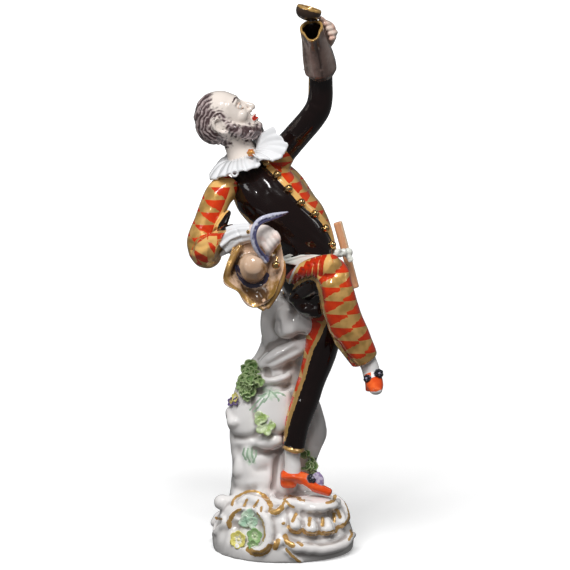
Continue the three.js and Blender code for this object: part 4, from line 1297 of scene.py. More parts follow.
raised.brush(
    "gilt", smooth_line([(352, 360.5), (359, 361), (367, 359), (373, 356), (378, 352)], 20), 0.7, False
)
thigh = [
    (283, 292), (290, 277), (297, 263), (306, 257), (318, 252), (329, 252), (333, 262), (325, 273),
    (318, 281),
]
raised.fill("plain", [*thigh, (309, 278), (300, 281), (292, 289)])
for pleat in thigh_pleats:
    top, foot = np.array(pleat) + [2.7, -0.5]
    raised.brush("pleat", smooth_line([top + [3, -7], top, foot], 12), 0.72)
raised.brush("white_edge", smooth_line([(301.5, 259.5), (296, 267), (292, 275), (287.5, 288)], 12), 0.28)
raised_paints = [("plain", ochre), ("pleat", red), ("white_edge", white), ("black", black)]
fired("raised_trousers", raised, dyed("raised_cloth", *raised_paints, less_red=-0.12))

# Jacket
# A tight jacket with a row of gilt buttons. The player's right half is black and the left half is
# chequered, with a plain gold edge beside the buttons. Folds gather above the sash.
spine = [
    at(7.9, 0, 74), at(8.7, 0, 78), at(5.9, 1.2, 85), at(0.2, 3.4, 93), at(-5.4, 5.4, 99.5),
    at(-8.8, 6.8, 104.6), at(-11.4, 7.8, 109),
]
chest_front = towards(0.7, -0.7, 0.1)
waist_front = towards(0.76, -0.65, 0)
button_line = [
    (258, 156), (264, 165), (277.6, 179.5), (289.6, 192.5), (301.7, 205.5), (316.6, 217.5), (326.8, 231),
    (332.6, 243), (334, 256),
]
jacket = Clay(
    [
        tube(
            spine,
            [9.6, 9.2, 10.4, 12.2, 12.6, 10.2, 4.8],
            [8.4, 8.0, 9.2, 10.2, 9.4, 6.6, 4.2],
            front=chest_front,
            sides=44,
            dome=0.3,
        ),
        tube(
            [at(8.5, 1.5, 64.5), at(8.0, 0.5, 70), at(8.2, 0.4, 75)], [7.2, 9.4, 9.6], [7.4, 8.6, 8.4],
            front=waist_front,
        ),
    ],
    0.3,
)
jacket.press(smooth_line(button_line, 40), 0.6, 0.35)
jacket.carve(spots((295, 164, 6), (302, 175, 5), (309, 187, 4.5)), 4.5, 1.5)
jacket_folds = [
    ([(240, 206), (250, 213), (262, 224)], 1.2, 0.35),
    ([(254, 236), (268, 246), (288, 252)], 1.3, 0.4),
    ([(262, 229), (276, 239), (294, 245)], 1.5, -0.35),
    ([(286, 234), (298, 242), (312, 248)], 1.1, 0.3),
    ([(300, 228), (312, 238), (324, 248)], 1.0, -0.2),
    ([(236, 190), (244, 202), (250, 214)], 1.3, 0.3),
    ([(262, 176), (268, 184), (270, 192)], 1.2, -0.2),
]
jacket.fold(jacket_folds, 20)
jacket.push(0.05 * lumps(jacket.points, 5, 31))
jacket_checks = {"centres": spine[::-1], "columns": 8, "height": 2.99, "turned": 0.933, "start": 0.06}
chequer(jacket, **jacket_checks)
jacket.mark("black", jacket.beyond(smooth_line(button_line, 60)))
trim_line = smooth_line(np.array(button_line) + [2.0, -1.5], 60)
jacket.brush("trim", trim_line, 1.0)
jacket.brush("gilt", [(228.2, 181.3), (232.2, 191.7), (235.1, 202), (236.3, 208.9)], 0.5)
jacket.brush("gilt", smooth_line([(235.6, 210), (241.5, 215.4), (248.4, 221), (255.5, 228)], 16), 0.7, False)
fired("jacket", jacket, dyed("jacket_cloth", ("trim", ochre), ("black", black), less_red=0.1))


def button_nodes(tree, given):
    """Balls set along a line at even distances."""
    join = tree.links.new
    line = tree.nodes.new("GeometryNodeMeshToCurve")
    join(given.outputs["Geometry"], line.inputs[0])
    even = tree.nodes.new("GeometryNodeResampleCurve")
    join(line.outputs[0], even.inputs["Curve"])
    join(given.outputs["Buttons"], even.inputs["Count"])
    button = tree.nodes.new("GeometryNodeMeshUVSphere")
    button.inputs["Segments"].default_value = 20
    button.inputs["Rings"].default_value = 14
    join(given.outputs["Radius"], button.inputs["Radius"])
    put = tree.nodes.new("GeometryNodeInstanceOnPoints")
    join(even.outputs[0], put.inputs["Points"])
    join(button.outputs["Mesh"], put.inputs["Instance"])
    return put.outputs["Instances"]


button_tree = node_tree(
    "button_row",
    [
        ("Buttons", "NodeSocketInt", 7),
        ("Radius", "NodeSocketFloat", 0.0014),
        ("Finish", "NodeSocketMaterial", None),
    ],
    button_nodes,
)
gold_glaze = Glaze("gold_glaze", ground=gold_light, metal=1.0, roughness=0.2).done()
button_points = [
    (266, 162.4), (278.6, 175.2), (290.6, 190), (302.2, 202.8), (316.6, 215), (326.6, 229), (332.4, 244.5)
]
path_steps = 36
button_places = jacket.place_at(smooth_line(button_points, path_steps + 1)) + towards(0.3, -1, 0.2) * 0.55
button_path = bpy.data.meshes.new("button_path")
button_path.from_pydata((button_places * mm).tolist(), [(step, step + 1) for step in range(path_steps)], [])
buttons = grow(button_tree, button_path, Buttons=7, Radius=1.35 * mm, Finish=gold_glaze)
settle("buttons", buttons, gold_glaze)

# Sash and bat
# A white linen sash wound round the waist and knotted at the hip, with the player's flat wooden bat through
# it.
sash = Clay(
    [
        tube(
            [at(8.2, 0.2, 76.0), at(8.6, 0.2, 79.8)],
            [9.9, 9.5],
            [9.1, 8.7],
            front=waist_front,
            sides=40,
            dome=0.1,
        ),
        ball(spot(343.5, 252.5, -1.5), [1.4, 1.3, 1.4]),
        tube(
            spots((342, 253, -1.5), (338, 251, -3.2), (336.5, 254, -4), (341, 255.5, -2.8)),
            [0.7, 0.9, 0.9, 0.7],
        ),
        ball(spot(348.5, 252.5, -0.4), [1.4, 1.2, 1.6]),
        tube(
            spots((346, 255, -1.4), (349.5, 258, -1.2), (351.5, 261, -1.6)), [0.7, 1.0, 1.0], [0.5, 0.5, 0.4]
        ),
    ],
    0.22,
)
for line, width, depth in (
    ([(285, 259), (300, 254.5), (318, 252.8), (334, 253)], 0.3, 0.3),
    ([(287, 262), (302, 257.4), (318, 255.5), (330, 255.5)], 0.3, 0.2),
    ([(347, 248), (348.5, 256)], 0.3, 0.3),
):
    sash.press(line, width, depth)
linen = Glaze("linen", ground=(0.80, 0.82, 0.76))
fired("sash", sash, linen.done())
bat = Clay(
    [
        tube(
            [at(17.5, 4.6, 88.2), at(20.4, 4.2, 77.6), at(23.2, 3.8, 67)],
            [1.5, 1.45, 1.4],
            [1.1, 1.1, 1.1],
            front=np.cross(towards(1, 0.35, 0.3), up),
            sides=32,
            dome=0.1,
        )
    ],
    0.25,
)
bat.press([(339.5, 222), (346, 250), (356, 284)], 0.3, 0.2)
# A paler stripe down one edge of the bat is a painted highlight.
bat.brush("edge", [(340.5, 220), (349, 250), (359.5, 286)], 0.35, False)
wood = Glaze("painted_wood", ground=(0.78, 0.38, 0.20))
wood.mottle((0.78, 0.45, 0.27), 500.0, 3.0, 0.45, 0.7, most=0.6, stretch=(4, 4, 0.5))
# Painted highlight along the bat's edge.
wood.paint("edge", (0.80, 0.56, 0.36), ragged=0.1)
fired("bat", bat, wood.done())

# Lowered arm
# The arm bends back to the hip to hold the hat. Its chequered sleeve has plain gold flaps and is cut off
# slanting at the wrist with a gilt edge and a dark opening, over a fluted linen cuff with a small button.
low_line = [
    at(-17.0, 1.6, 101.4), at(-20.8, -1.6, 97), at(-23.8, -4.6, 89.6), at(-25.7, -6.4, 83.6),
    at(-24.2, -8.4, 80.2), spot(208, 249.5, -11), spot(216.5, 244.5, -12.4), spot(231, 236, -14),
]
forearm = towards(0.72, -0.2, 0.5)
arm = tube(low_line, [4.6, 4.5, 4.4, 4.8, 4.9, 4.5, 4.1, 4.0], sides=40, dome=0.1, steps=60)
opening = [(233.5, 230.5), (218.2, 256.5)]
low_sleeve = Clay(
    [
        cut_off(arm, *opening, forearm),
        tube(spots((228.6, 212, -6), (224, 220, -8), (220, 228.5, -10)), [0.9, 1.5, 1.8]),
        # This form fills the sleeve's opening and is painted black there as painted shade.
        tube(spots((222, 227.4, -10.4), (228, 227, -11.4), (232.8, 225.6, -12)), [1.0, 0.9, 0.7]),
    ],
    0.28,
)
low_folds = [
    ([(190, 243), (200, 247), (210, 243)], 0.9, 0.35),
    ([(204, 230), (211, 234), (218, 231)], 0.9, 0.35),
    ([(226, 213), (221, 222), (218, 229)], 0.7, 0.25),
    ([(190, 256), (200, 254), (210, 247)], 1.0, -0.3),
    ([(212, 190), (214, 200), (212, 210)], 1.1, -0.25),
]
low_sleeve.fold(low_folds, 16)
low_sleeve.push(0.05 * lumps(low_sleeve.points, 4, 41))
elbow_height = 103.5
chequer(
    low_sleeve, low_line, columns=4, height=3.78, turned=0.422, start=0.42, side=1, level_above=elbow_height
)
low_sleeve.fill(
    "trim",
    [(232, 180), (229, 192), (225, 202), (221, 212), (214.5, 224), (212, 233), (226, 233), (238, 205)],
)
low_sleeve.fill("trim", [(200, 178), (236, 178), (232, 187.5), (204, 187)])
# Painted shade: the sleeve's inside, seen through its opening, is painted black.
low_sleeve.fill("opening", [(231, 208), (225.5, 214), (218.5, 224.5), (217, 231), (234, 230), (236, 218)])
low_sleeve.stroke("trim", -low_sleeve.beyond(np.array(opening) - [0.4, 0.3]), front_only=False)
low_sleeve.fill(
    "patch", [(195.5, 245), (207, 236.5), (208, 243), (207, 257), (201.6, 254.1), (195.2, 250.3)]
)
low_sleeve.fill(
    "patch", [(208.5, 236), (217, 236), (217, 243.5), (215.6, 247), (211, 242.5), (207.3, 242.6)]
)
low_sleeve.fill("patch", [(189.8, 250), (193, 250), (197.5, 262), (194, 264)])
low_sleeve.fill("patch", [(213.5, 257.5), (216, 247), (219, 243), (228, 237), (224, 246), (217, 256)])
low_sleeve.brush("gilt", opening, 0.55)
low_sleeve.brush("gilt", [(218.6, 232.6), (226, 231.4), (234, 230.6)], 0.35)
low_sleeve.brush(
    "gilt", smooth_line([(188.6, 259.5), (193, 265), (203, 266), (213, 261.6), (218, 257)], 20), 0.5
)
# The opening's black is painted shade.
fired(
    "low_sleeve", low_sleeve, dyed("low_sleeve_cloth", ("trim", ochre), ("patch", ochre), ("opening", black))
)


def cuff(centres, radii, flutes=9):
    """A fluted linen cuff, wide at the sleeve and gathered at the wrist."""

    def ripple(share, turn):
        return 0.08 * (1 - 0.5 * share) * np.cos(flutes * turn)

    return tube(centres, radii, sides=flutes * 8, dome=0.1, ripple=ripple)


fine_linen = Glaze("fine_linen", ground=(0.84, 0.845, 0.86)).done()
low_cuff = Clay(
    [
        cuff(spots((224, 242.5, -12.6), (237, 235, -14), (251.5, 232.4, -14.8)), [4.1, 3.5, 2.9]),
        tube(
            spots((222.5, 253, -12), (229, 248.5, -13.6), (237, 242, -14.6)),
            [0.8, 1.2, 1.0], [1.8, 1.8, 1.4],
        ),
    ],
    0.22,
)
low_cuff.press([(223, 249), (231, 241), (241, 238)], 0.4, 0.4)
low_cuff.press([(236, 228), (240, 236), (240, 243)], 0.4, 0.25)
fired("low_cuff", low_cuff, fine_linen)
cuff_button = Bunch()
cuff_button.add(ball(low_cuff.place_at([(247, 231)])[0] + viewer * 0.2, [0.6, 0.5, 0.65]))
fired("cuff_button", cuff_button, gold_glaze)

skin_glaze = Glaze("skin_glaze", ground=(0.90, 0.81, 0.76))
skin_glaze.mottle((0.80, 0.45, 0.36), 320.0, 2.0, 0.5, 0.75, most=0.35)
hand_forms = [
    tube(spots((249, 232, -15), (258, 234, -17.2), (267, 238.5, -18.4)), [2.4, 3.2, 3.2], [1.8, 2.0, 1.8]),
    tube(spots((256, 229, -16.6), (265, 227.8, -17.8), (273, 231, -18.4)), [0.95, 1.0, 0.8], sides=16),
]
for finger in range(4):
    knuckle = spot(264 + 3.4 * finger, 243 - 3.2 * finger, -18.8)
    middle = spot(267.5 + 3.2 * finger, 248.5 - 3.4 * finger, -19.6)
    tip = spot(268.5 + 2.8 * finger, 254.5 - 4.0 * finger, -18.4)
    hand_forms.append(tube([knuckle, middle, tip], [1.3, 1.25, 1.0], sides=16))
low_hand = Clay(hand_forms, 0.2)
low_hand.soften(4)
fired("low_hand", low_hand, skin_glaze.done())

# Hat
# A soft felt hat held at the hip with its crown outwards. Its brim is bent up on both sides into a trough
# with gilt edges, an indigo band goes round the crown, and a lavender feather curls up from a gilt bell.
hat_normal = towards(0.1, -0.93, 0.34)
hat_across, hat_up = sideways(hat_normal, towards(1, 0, 0))
hat_centre = at(-9.9, -16.6, 76.6)
brim_reach = [9.9, 10.9, 14.2, 14.4, 10.2, 8.0, 8.4, 10.3, 9.2, 12.4, 11.6, 9.6]
brim_curl = [3.8, 2.8, 0.8, 0.2, 0.8, 2.8, 4.2, 3.4, 3.8, 1.0, 3.6, 4.2]
brim_thickness = 1.1


def round_values(values, turns):
    """Values given at even steps round a circle, read smoothly at any turn."""
    steps = 24
    stops = np.array([values[-1], *values, *values[:2]])[:, None]
    line = smooth_line(stops, steps * (len(values) + 2) + 1)[steps:-steps, 0]
    return np.interp(turns, np.linspace(0, 2 * math.pi, len(line)), line)


def brim_form():
    """The brim's two faces, from its middle out to the edge and back."""
    rings = 18
    turns = round_turns(120)
    reach, curl = round_values(brim_reach, turns), round_values(brim_curl, turns)
    shares = np.concatenate([np.linspace(0.05, 1, rings), np.linspace(1, 0.05, rings)])
    thickness = np.repeat([0.5, -0.5], rings) * brim_thickness
    lift = curl * shares[:, None] ** 3.5 + thickness[:, None]
    out = (shares[:, None] * reach)[..., None]
    grid = hat_centre + out * (np.cos(turns)[:, None] * hat_across + np.sin(turns)[:, None] * hat_up)
    return skin(grid + lift[..., None] * hat_normal)


left_roll = spots((240, 246, -18), (234.5, 256, -19.4), (229, 269, -20.4), (227.5, 277, -20))
foot_roll = spots((227.5, 277, -20), (239, 289, -20), (252, 301, -20.6), (264, 308.5, -21.4))
right_roll = spots((283, 262, -18), (281.5, 278, -19), (275, 293, -20.4), (267, 307, -21.4))
curled_edge = spots((281, 236, -18), (278.5, 244, -19.6), (275, 251, -20.2), (272, 258, -19.4))
hat = Clay(
    [
        brim_form(),
        tube(
            [hat_centre + height * hat_normal for height in (0, 4, 6.4)],
            [4.9, 4.6, 3.4], front=up, dome=0.5, sides=40,
        ),
        tube(left_roll, [0.8, 1.0, 1.05, 0.9]),
        tube(foot_roll, [0.9, 0.75, 0.8, 1.0]),
        tube(right_roll, [0.9, 1.2, 1.3, 1.0]),
        tube(curled_edge, [0.6, 0.95, 0.9, 0.5]),
    ],
    0.25,
)
hat.soften(1)
hat.press([(250, 289), (257, 293), (264, 302)], 2.0, 0.9)
hat.press([(272, 240), (268, 250), (268, 262)], 0.8, 0.35)
hat.press([(273, 268), (274, 280), (270, 292)], 0.9, 0.4)
hat.push(0.04 * lumps(hat.points, 4, 51))
band_line = [(237, 267), (240, 276.5), (246.6, 284), (255.8, 285.8), (264, 281.4), (267, 275)]
hat.brush("band", smooth_line(band_line, 24), 0.75)
hat.fill(
    "shade",
    [(236, 276), (246, 287), (257, 289), (266, 284), (269, 293), (266.5, 306), (256, 303.5), (243, 293)],
)
hat.fill("shade", [(241, 249), (244, 252), (239, 262), (238, 270), (232, 275), (231, 271), (235, 259)])
hat.fill(
    "brown", [(236, 243), (244, 243.5), (240.5, 258), (235, 271), (229.5, 279.5), (223.5, 279), (229, 260)]
)
hat.fill("brown", [(238, 287), (246, 291), (256, 300), (264, 306), (264, 311), (252, 303)])
hat.fill("brown", [(270, 290), (276, 278), (281, 283), (274, 300), (268, 309), (265, 306)])
hat.brush("brown", smooth_line([(264, 266), (267, 278), (271, 291), (274, 302)], 12), 0.45)
hat.fill("olive", [(279, 241), (281, 246), (277, 252), (272.5, 257), (270, 256), (274, 247)])
hat.fill("olive", [(268, 296), (272, 290), (276, 286), (275, 293), (269, 305), (266, 306)])
brim_edge = [
    (258, 226), (270, 223.5), (280.5, 229), (285.4, 250.2), (285.6, 266.3), (281.6, 283.5), (273, 303),
    (266, 311), (252, 304), (240, 292), (225.5, 279), (229, 262), (237, 245), (247, 240),
]
hat.brush("gilt", smooth_line(brim_edge, 60), 0.6)
felt = Glaze("felt", ground=(0.64, 0.43, 0.29))
felt.mottle((0.78, 0.60, 0.47), 200.0, 3.0, 0.4, 0.7, most=0.6)
felt.paint("brown", (0.44, 0.24, 0.07), metal=0.3, ragged=0.5, edge=1.1)
felt.paint("olive", (0.42, 0.25, 0.06), metal=0.4, ragged=0.3, edge=0.5)
felt.paint("shade", (0.10, 0.048, 0.018), roughness=0.4, ragged=0.3, edge=0.7)
felt.paint("band", (0.06, 0.055, 0.10), ragged=0.1)
felt.gild("gilt")
fired("hat", hat, felt.done())

plume_line = spots(
    (264, 258, -21.5), (256.5, 248, -23), (253.3, 236.5, -23.6), (255.5, 226.5, -23.2),
    (261.5, 220.4, -22.4), (270, 217.3, -21.2), (279, 214.8, -19.8), (288, 212.2, -18.6),
)
plume = Clay(
    [
        tube(plume_line, [1.0, 1.05, 1.05, 1.1, 1.2, 1.2, 0.9, 0.3], [0.8] * 8, sides=24, steps=80),
        tube([at(-5.2, -17, 80.4), at(-5.3, -21.4, 80.2)], [1.4, 1.1]),
    ],
    0.2,
)
plume_middle = seen(np.array(plume_line))[0]
plume.press(smooth_line(plume_middle + [0.8, 1.0], 60), 0.3, 0.25)
plume.mark("inner", plume.beyond(smooth_line(plume_middle, 60)) + 0.25 * lumps(plume.points, 1.2, 52))
feather = Glaze("feather", ground=(0.52, 0.53, 0.66))
feather.mottle((0.72, 0.72, 0.80), 900.0, 3.0, 0.5, 0.7)
feather.paint("inner", (0.085, 0.085, 0.18), ragged=0.25, edge=0.35)
fired("plume", plume, feather.done())
bell = Bunch()
bell.add(ball(spot(275.9, 265.1, -20.6), [1.3, 1.3, 1.3], columns=24, rings=16))
bell.add(tube(spots((276, 262, -20.4), (277.5, 257, -19.6)), [0.45, 0.3], sides=12))
fired("bell", bell, gold_glaze)

# Raised arm
# The other arm lifts the jug. Its sleeve is black from the shoulder's checks upwards, with a fine gilt
# edge, and the fingers are closed round the jug's handle.
high_line = [at(-5.4, 7.6, 101.6), spot(280, 155, 7.6), spot(288.5, 145, 6.8), spot(299.5, 132.5, 4.6)]
high_line += spots(
    (310.5, 119.8, 2.0), (317.8, 108.5, 0.6), (320.4, 97, 0.4), (320.6, 84, 0.8), (320.6, 76, 1)
)
high_sleeve = Clay(
    [tube(high_line, [5.6, 4.7, 4.3, 4.2, 4.15, 4.1, 3.95, 3.85, 3.8], sides=40, dome=0.2, steps=70)], 0.28
)
high_folds = [
    ([(309, 99), (314, 104), (321, 106)], 0.9, 0.15),
    ([(305, 111), (312, 113), (319, 119)], 1.0, 0.2),
    ([(284, 132), (290, 138), (298, 143)], 1.1, 0.2),
    ([(322, 86), (324, 94), (322, 103)], 0.9, 0.2),
    ([(312, 86), (313, 96), (310, 104)], 0.7, -0.2),
]
high_sleeve.fold(high_folds, 16)
chequer(high_sleeve, **jacket_checks)
high_sleeve.mark("black", high_sleeve.beyond([(296, 163), (262, 121)]))
high_sleeve.brush("gilt", smooth_line([(308.6, 94), (308.9, 86), (309, 79.5)], 12), 0.22, False)
fired("high_sleeve", high_sleeve, dyed("high_sleeve_cloth", ("black", black)))
high_cuff = Clay([cuff(spots((318.4, 71, 1.2), (319.2, 66, 0.8), (321, 58, 0.4)), [4.7, 3.8, 2.2])], 0.22)
fired("high_cuff", high_cuff, fine_linen)
hand_forms = [
    tube(
        spots((321, 60, 0.6), (324.5, 48, -0.8), (328.5, 38, -2.6), (328, 29, -4.4), (324, 23, -5.4)),
        [1.8, 1.7, 2.3, 2.4, 1.5],
        [1.6, 1.6, 2.0, 2.0, 1.4],
    ),
    tube(spots((326, 25, -5.4), (322.5, 20.5, -7.0), (320.5, 18.2, -8.2)), [1.1, 1.0, 0.8], sides=16),
]
finger_points = [
    ((329.5, 24.5), (324.5, 24)), ((333, 28), (327, 29)), ((335.3, 32.3), (329, 34)),
    ((333.8, 37), (330.5, 39)),
]
for (across, down), (tip_across, tip_down) in finger_points:
    knuckle = spot(across, down, -4.4)
    tip = spot(tip_across, tip_down, -7.6)
    middle = (knuckle + tip) / 2 + towards(0.5, -1, 0) * 0.5
    hand_forms.append(tube([knuckle, middle, tip], [0.95, 0.95, 0.75], sides=16))
high_hand = Clay(hand_forms, 0.18)
high_hand.soften(5)
warm_skin = Glaze("warm_skin", ground=(0.86, 0.68, 0.58))
warm_skin.mottle((0.78, 0.38, 0.27), 420.0, 2.0, 0.45, 0.7, most=0.5)
fired("high_hand", high_hand, warm_skin.done())

# Jug
# A tall jug with flat facets, thrown and cut while the clay is leather-hard, hollow inside and pinched to a
# spout under a gilt rim. Its domed lid hangs open on the hinge.
jug_foot = spot(322.0, 74.0, -1.2)
jug_reach = spot(311.2, 26.8, -11.8) - jug_foot
jug_axis = unit(jug_reach)
jug_length = np.linalg.norm(jug_reach)
jug_across, jug_beside = sideways(jug_axis, towards(-0.19, 0, 1))
jug_wall = 0.8
jug_floor = 1.4
jug_shares = [0, 0.13, 0.36, 0.6, 0.8, 1]
jug_radii = [3.9, 5.3, 5.05, 4.35, 3.9, 3.7]
facets = 8
facet_fullness = 1.045
spout_reach = 2.3
spout_droop = 0.35
spout_sharpness = 7
rim_dip = 0.8
gilt_rim = 0.85


def jug_grid(shares, thinner):
    """Rings of corners on the jug's outside, or on its inside where it is made thinner."""
    turns = round_turns(96)
    width = math.pi / facets
    flat = np.cos(width) / np.cos((turns + width) % (2 * width) - width)
    rings = []
    for share in shares:
        belly = np.interp(share, jug_shares, jug_radii)
        cut = 1 + (flat * facet_fullness - 1) * np.clip(share * 5, 0, 1) * np.clip((1.04 - share) * 6, 0, 1)
        spout = np.maximum(0, -np.cos(turns)) ** spout_sharpness * spout_reach * max(0, share * 3 - 2)
        reach = belly * cut + spout - thinner
        round_axis = np.cos(turns)[:, None] * jug_across + np.sin(turns)[:, None] * jug_beside
        droop = (spout * -spout_droop)[:, None] * jug_axis
        rings.append(jug_foot + share * jug_length * jug_axis + reach[:, None] * round_axis + droop)
    return rings


def on_jug(height, radius, turn):
    """A place on the jug: its height above the foot, how far out it lies, and on which side."""
    return jug_foot + height * jug_axis + radius * (
        math.cos(turn) * jug_across + math.sin(turn) * jug_beside
    )


jug_outside = jug_grid(np.linspace(0, 1, 26), 0)
jug_inside = jug_grid(np.linspace(1, jug_floor / jug_length, 20), jug_wall)
jug_handle = [
    on_jug(19.0, 3.2, -0.05), on_jug(18.4, 6.9, -0.05), on_jug(12.6, 7.6, 0.05), on_jug(6.3, 4.6, 0.05)
]
jug = Clay(
    [
        skin(np.array(jug_outside + jug_inside)),
        tube(jug_handle, [1.1] * 4, sides=16),
        tube([on_jug(19.6, 3.4, 0), spot(313, 16.5, -8.4)], [1.2, 1.2], sides=16),
    ],
    0.2,
)
jug.press([(316.6, 42), (318.6, 54), (321.2, 69)], 0.5, 0.4)
from_foot = (jug.points - jug_foot) @ jug_axis
spread = jug.points - jug_foot - from_foot[:, None] * jug_axis
lean = np.arctan2(spread @ jug_beside, spread @ jug_across)
rim_height = jug_length - rim_dip * np.maximum(0, -np.cos(lean)) ** spout_sharpness
jug.mark("gilt", np.abs(from_foot - rim_height) - gilt_rim)
belly = np.interp(from_foot / jug_length, jug_shares, jug_radii)
# Painted shade: the jug's inner wall is painted near black, as the inside of its mouth lies in shade.
jug.mark("inside", np.linalg.norm(spread, axis=1) - belly + 0.55)
# Painted highlights down the left and right facets, and painted shade along the facet crease and the left
# edge.
jug.brush("painted_highlight", smooth_line([(309.5, 44), (312, 60), (315.5, 75)], 12), 0.5)
jug.brush("painted_sheen", smooth_line([(325.5, 40), (330, 54), (333, 68)], 12), 0.8)
jug.brush("crease_shade", smooth_line([(316.5, 41), (318.6, 54), (321.6, 68), (322.5, 80)], 12), 0.15)
jug.brush("crease_shade", smooth_line([(303.5, 40), (305, 56), (308, 72)], 12), 0.1)
jug_glaze = Glaze("jug_glaze", ground=(0.20, 0.135, 0.115))
# Painted highlights and painted shade over the brown ground.
jug_glaze.paint("painted_highlight", (0.46, 0.31, 0.27), ragged=0.3, edge=1.4)
jug_glaze.paint("painted_sheen", (0.36, 0.29, 0.26), ragged=0.3, edge=1.5)
jug_glaze.paint("crease_shade", (0.045, 0.028, 0.024), ragged=0.1, edge=0.7)
jug_glaze.mottle((0.32, 0.25, 0.23), 800.0, 4.0, 0.45, 0.75, most=0.28, stretch=(1.6, 1.6, 0.16))
# Painted shade inside the jug's mouth.
jug_glaze.paint("inside", (0.020, 0.010, 0.006), edge=0.2)
jug_glaze.gild("gilt")
fired("jug", jug, jug_glaze.done())

lid_normal = towards(0.28, -0.02, 0.96)
lid_centre = spot(309.4, 8.6, -9.6)
lid_across, lid_beside = sideways(lid_normal, towards(-1, -0.35, 0.3))
lid_turns = round_turns(72)
lid_profile = [
    (0.3, -1.2), (1.5, -1.1), (2.8, -0.6), (3.3, 0.3), (3.6, 0.6), (3.95, 0.1), (4.05, -0.7), (3.95, -1.6),
    (3.55, -2.5), (2.9, -3.2), (2.0, -3.6), (1.0, -3.8),
]
lid_rings = [
    lid_centre
    + out * (np.cos(lid_turns)[:, None] * lid_across + np.sin(lid_turns)[:, None] * lid_beside)
    + rise * lid_normal
    for out, rise in lid_profile
]
lid = Clay(
    [skin(np.array(lid_rings)), tube(spots((313, 14, -9), (313, 18, -8.2)), [1.9, 1.5], sides=16)], 0.2
)
above_lid = (lid.points - lid_centre) @ lid_normal
from_pin = np.linalg.norm(lid.points - lid_centre - above_lid[:, None] * lid_normal, axis=1)
lid.mark("bronze", -0.35 - above_lid)
lid.mark("gilt", np.maximum(-0.25 - above_lid, 3.25 - from_pin))
lid_glaze = Glaze("lid_glaze", ground=(0.045, 0.027, 0.018))
lid_glaze.mottle((0.11, 0.065, 0.04), 300.0, 3.0, 0.5, 0.7, most=0.5)
lid_glaze.paint("bronze", (0.26, 0.145, 0.045), metal=0.4, ragged=0.1)
lid_glaze.gild("gilt")
fired("lid", lid, lid_glaze.done())

# Collar
# A pleated linen collar in two lobes, one over the lowered shoulder with its edge rolled up at one place,
# and one turned up beside the raised arm. It is rolled out thin, pleated over a stick and closed with a
# gilt ball.
collar_root = at(-12.6, 7.6, 109.2)
collar_up = towards(-0.38, -0.1, 0.92)
lowered_lobe = [
    at(-8.6, -6, 110.2), at(-6.9, -5, 108.0), at(-10.3, -7.5, 106.7), at(-13.5, -8.0, 106.2),
    at(-17.3, -7.0, 105.0), at(-20.6, -4.4, 103.6), at(-23.4, 0, 102.4), at(-22.8, 6, 103.8),
]
raised_lobe = [
    at(-20.0, 12, 105.8), at(-16.5, 15.5, 107.6), at(-12.4, 16, 109.6), at(-8.6, 13, 113.0),
    at(-6.8, 7, 115.2), at(-3.2, 3, 118.9), at(-0.9, 0.6, 116.6), at(1.7, -1.4, 114.2), at(1.1, -2.4, 112.0),
    at(-0.8, -3.4, 109.6), at(-4.8, -5, 109.4),
]
throat_radius = 4.6
collar_pleats = 20
collar_thickness = 0.8


def collar_form():
    """The collar's upper and lower skins, from the throat out to the scalloped edge and back."""
    edge = lowered_lobe + raised_lobe
    columns, steps, rings_out = collar_pleats * 14, 60, 22
    closed = smooth_line([edge[-1], *edge, edge[0], edge[1]], steps * (len(edge) + 2) + 1)
    closed = closed[steps : steps * (len(edge) + 1)]
    rim = closed[np.linspace(0, len(closed), columns, endpoint=False).astype(int)]
    turns = round_turns(columns)
    flat = rim - collar_root
    flat = unit(flat - (flat @ collar_up)[:, None] * collar_up) * throat_radius
    pleat = np.abs(np.cos(collar_pleats * turns / 2)) ** 0.7
    rings = []
    for share in np.concatenate([np.linspace(0, 1, rings_out), np.linspace(1, 0, rings_out)]):
        side, swell = (1, 1.2) if len(rings) < rings_out else (-1, 0.4)
        start = collar_root + (0.8 * side) * collar_up + flat
        swell = swell * math.sin(math.pi * share)
        lift = swell + (0.8 * pleat - 0.4) * share**0.7 + 0.5 * side * collar_thickness * share**0.3
        scallop = 1 - 0.07 * (1 - pleat) * share**3
        rings.append(start + (share * scallop)[:, None] * (rim - start) + lift[:, None] * collar_up)
    return skin(np.array(rings))


collar = Clay([collar_form()], 0.24)
for fold in (
    [(226, 158), (222, 168), (214, 178)],
    [(234, 158), (231, 168), (228, 179)],
    [(243, 157), (243, 164), (246, 171)],
):
    collar.press(smooth_line(fold, 12), 0.5, 0.25)
fired("collar", collar, fine_linen)
curl_centre = collar.place_at([(236, 174)])[0] + viewer * 0.5
curl_ring = [
    curl_centre + 0.95 * math.cos(turn) * towards(1, 0, 0) + 0.85 * math.sin(turn) * up + viewer * 0.12 * turn
    for turn in np.linspace(-0.6, 5.4, 14)
]
rolled_edge = Clay([tube(curl_ring, [0.42] * 14, sides=14)], 0.15)
fired("rolled_edge", rolled_edge, fine_linen)
throat_ball = Bunch()
ball_place = collar.place_at([(250, 152)])[0] + viewer * 0.6
throat_ball.add(ball(ball_place, [1.15, 1.0, 1.1]))
for petal in range(6):
    turn = petal * math.pi / 3
    petal_place = ball_place + 0.85 * np.array([math.cos(turn), -0.2, math.sin(turn)])
    throat_ball.add(ball(petal_place, [0.5, 0.5, 0.5], rings=8))
throat_glaze = Glaze("throat_glaze", ground=(0.72, 0.33, 0.08), metal=0.3)
throat_glaze.mottle((0.66, 0.12, 0.03), 900.0, 2.0, 0.5, 0.6)
fired("throat_ball", throat_ball, throat_glaze.done())

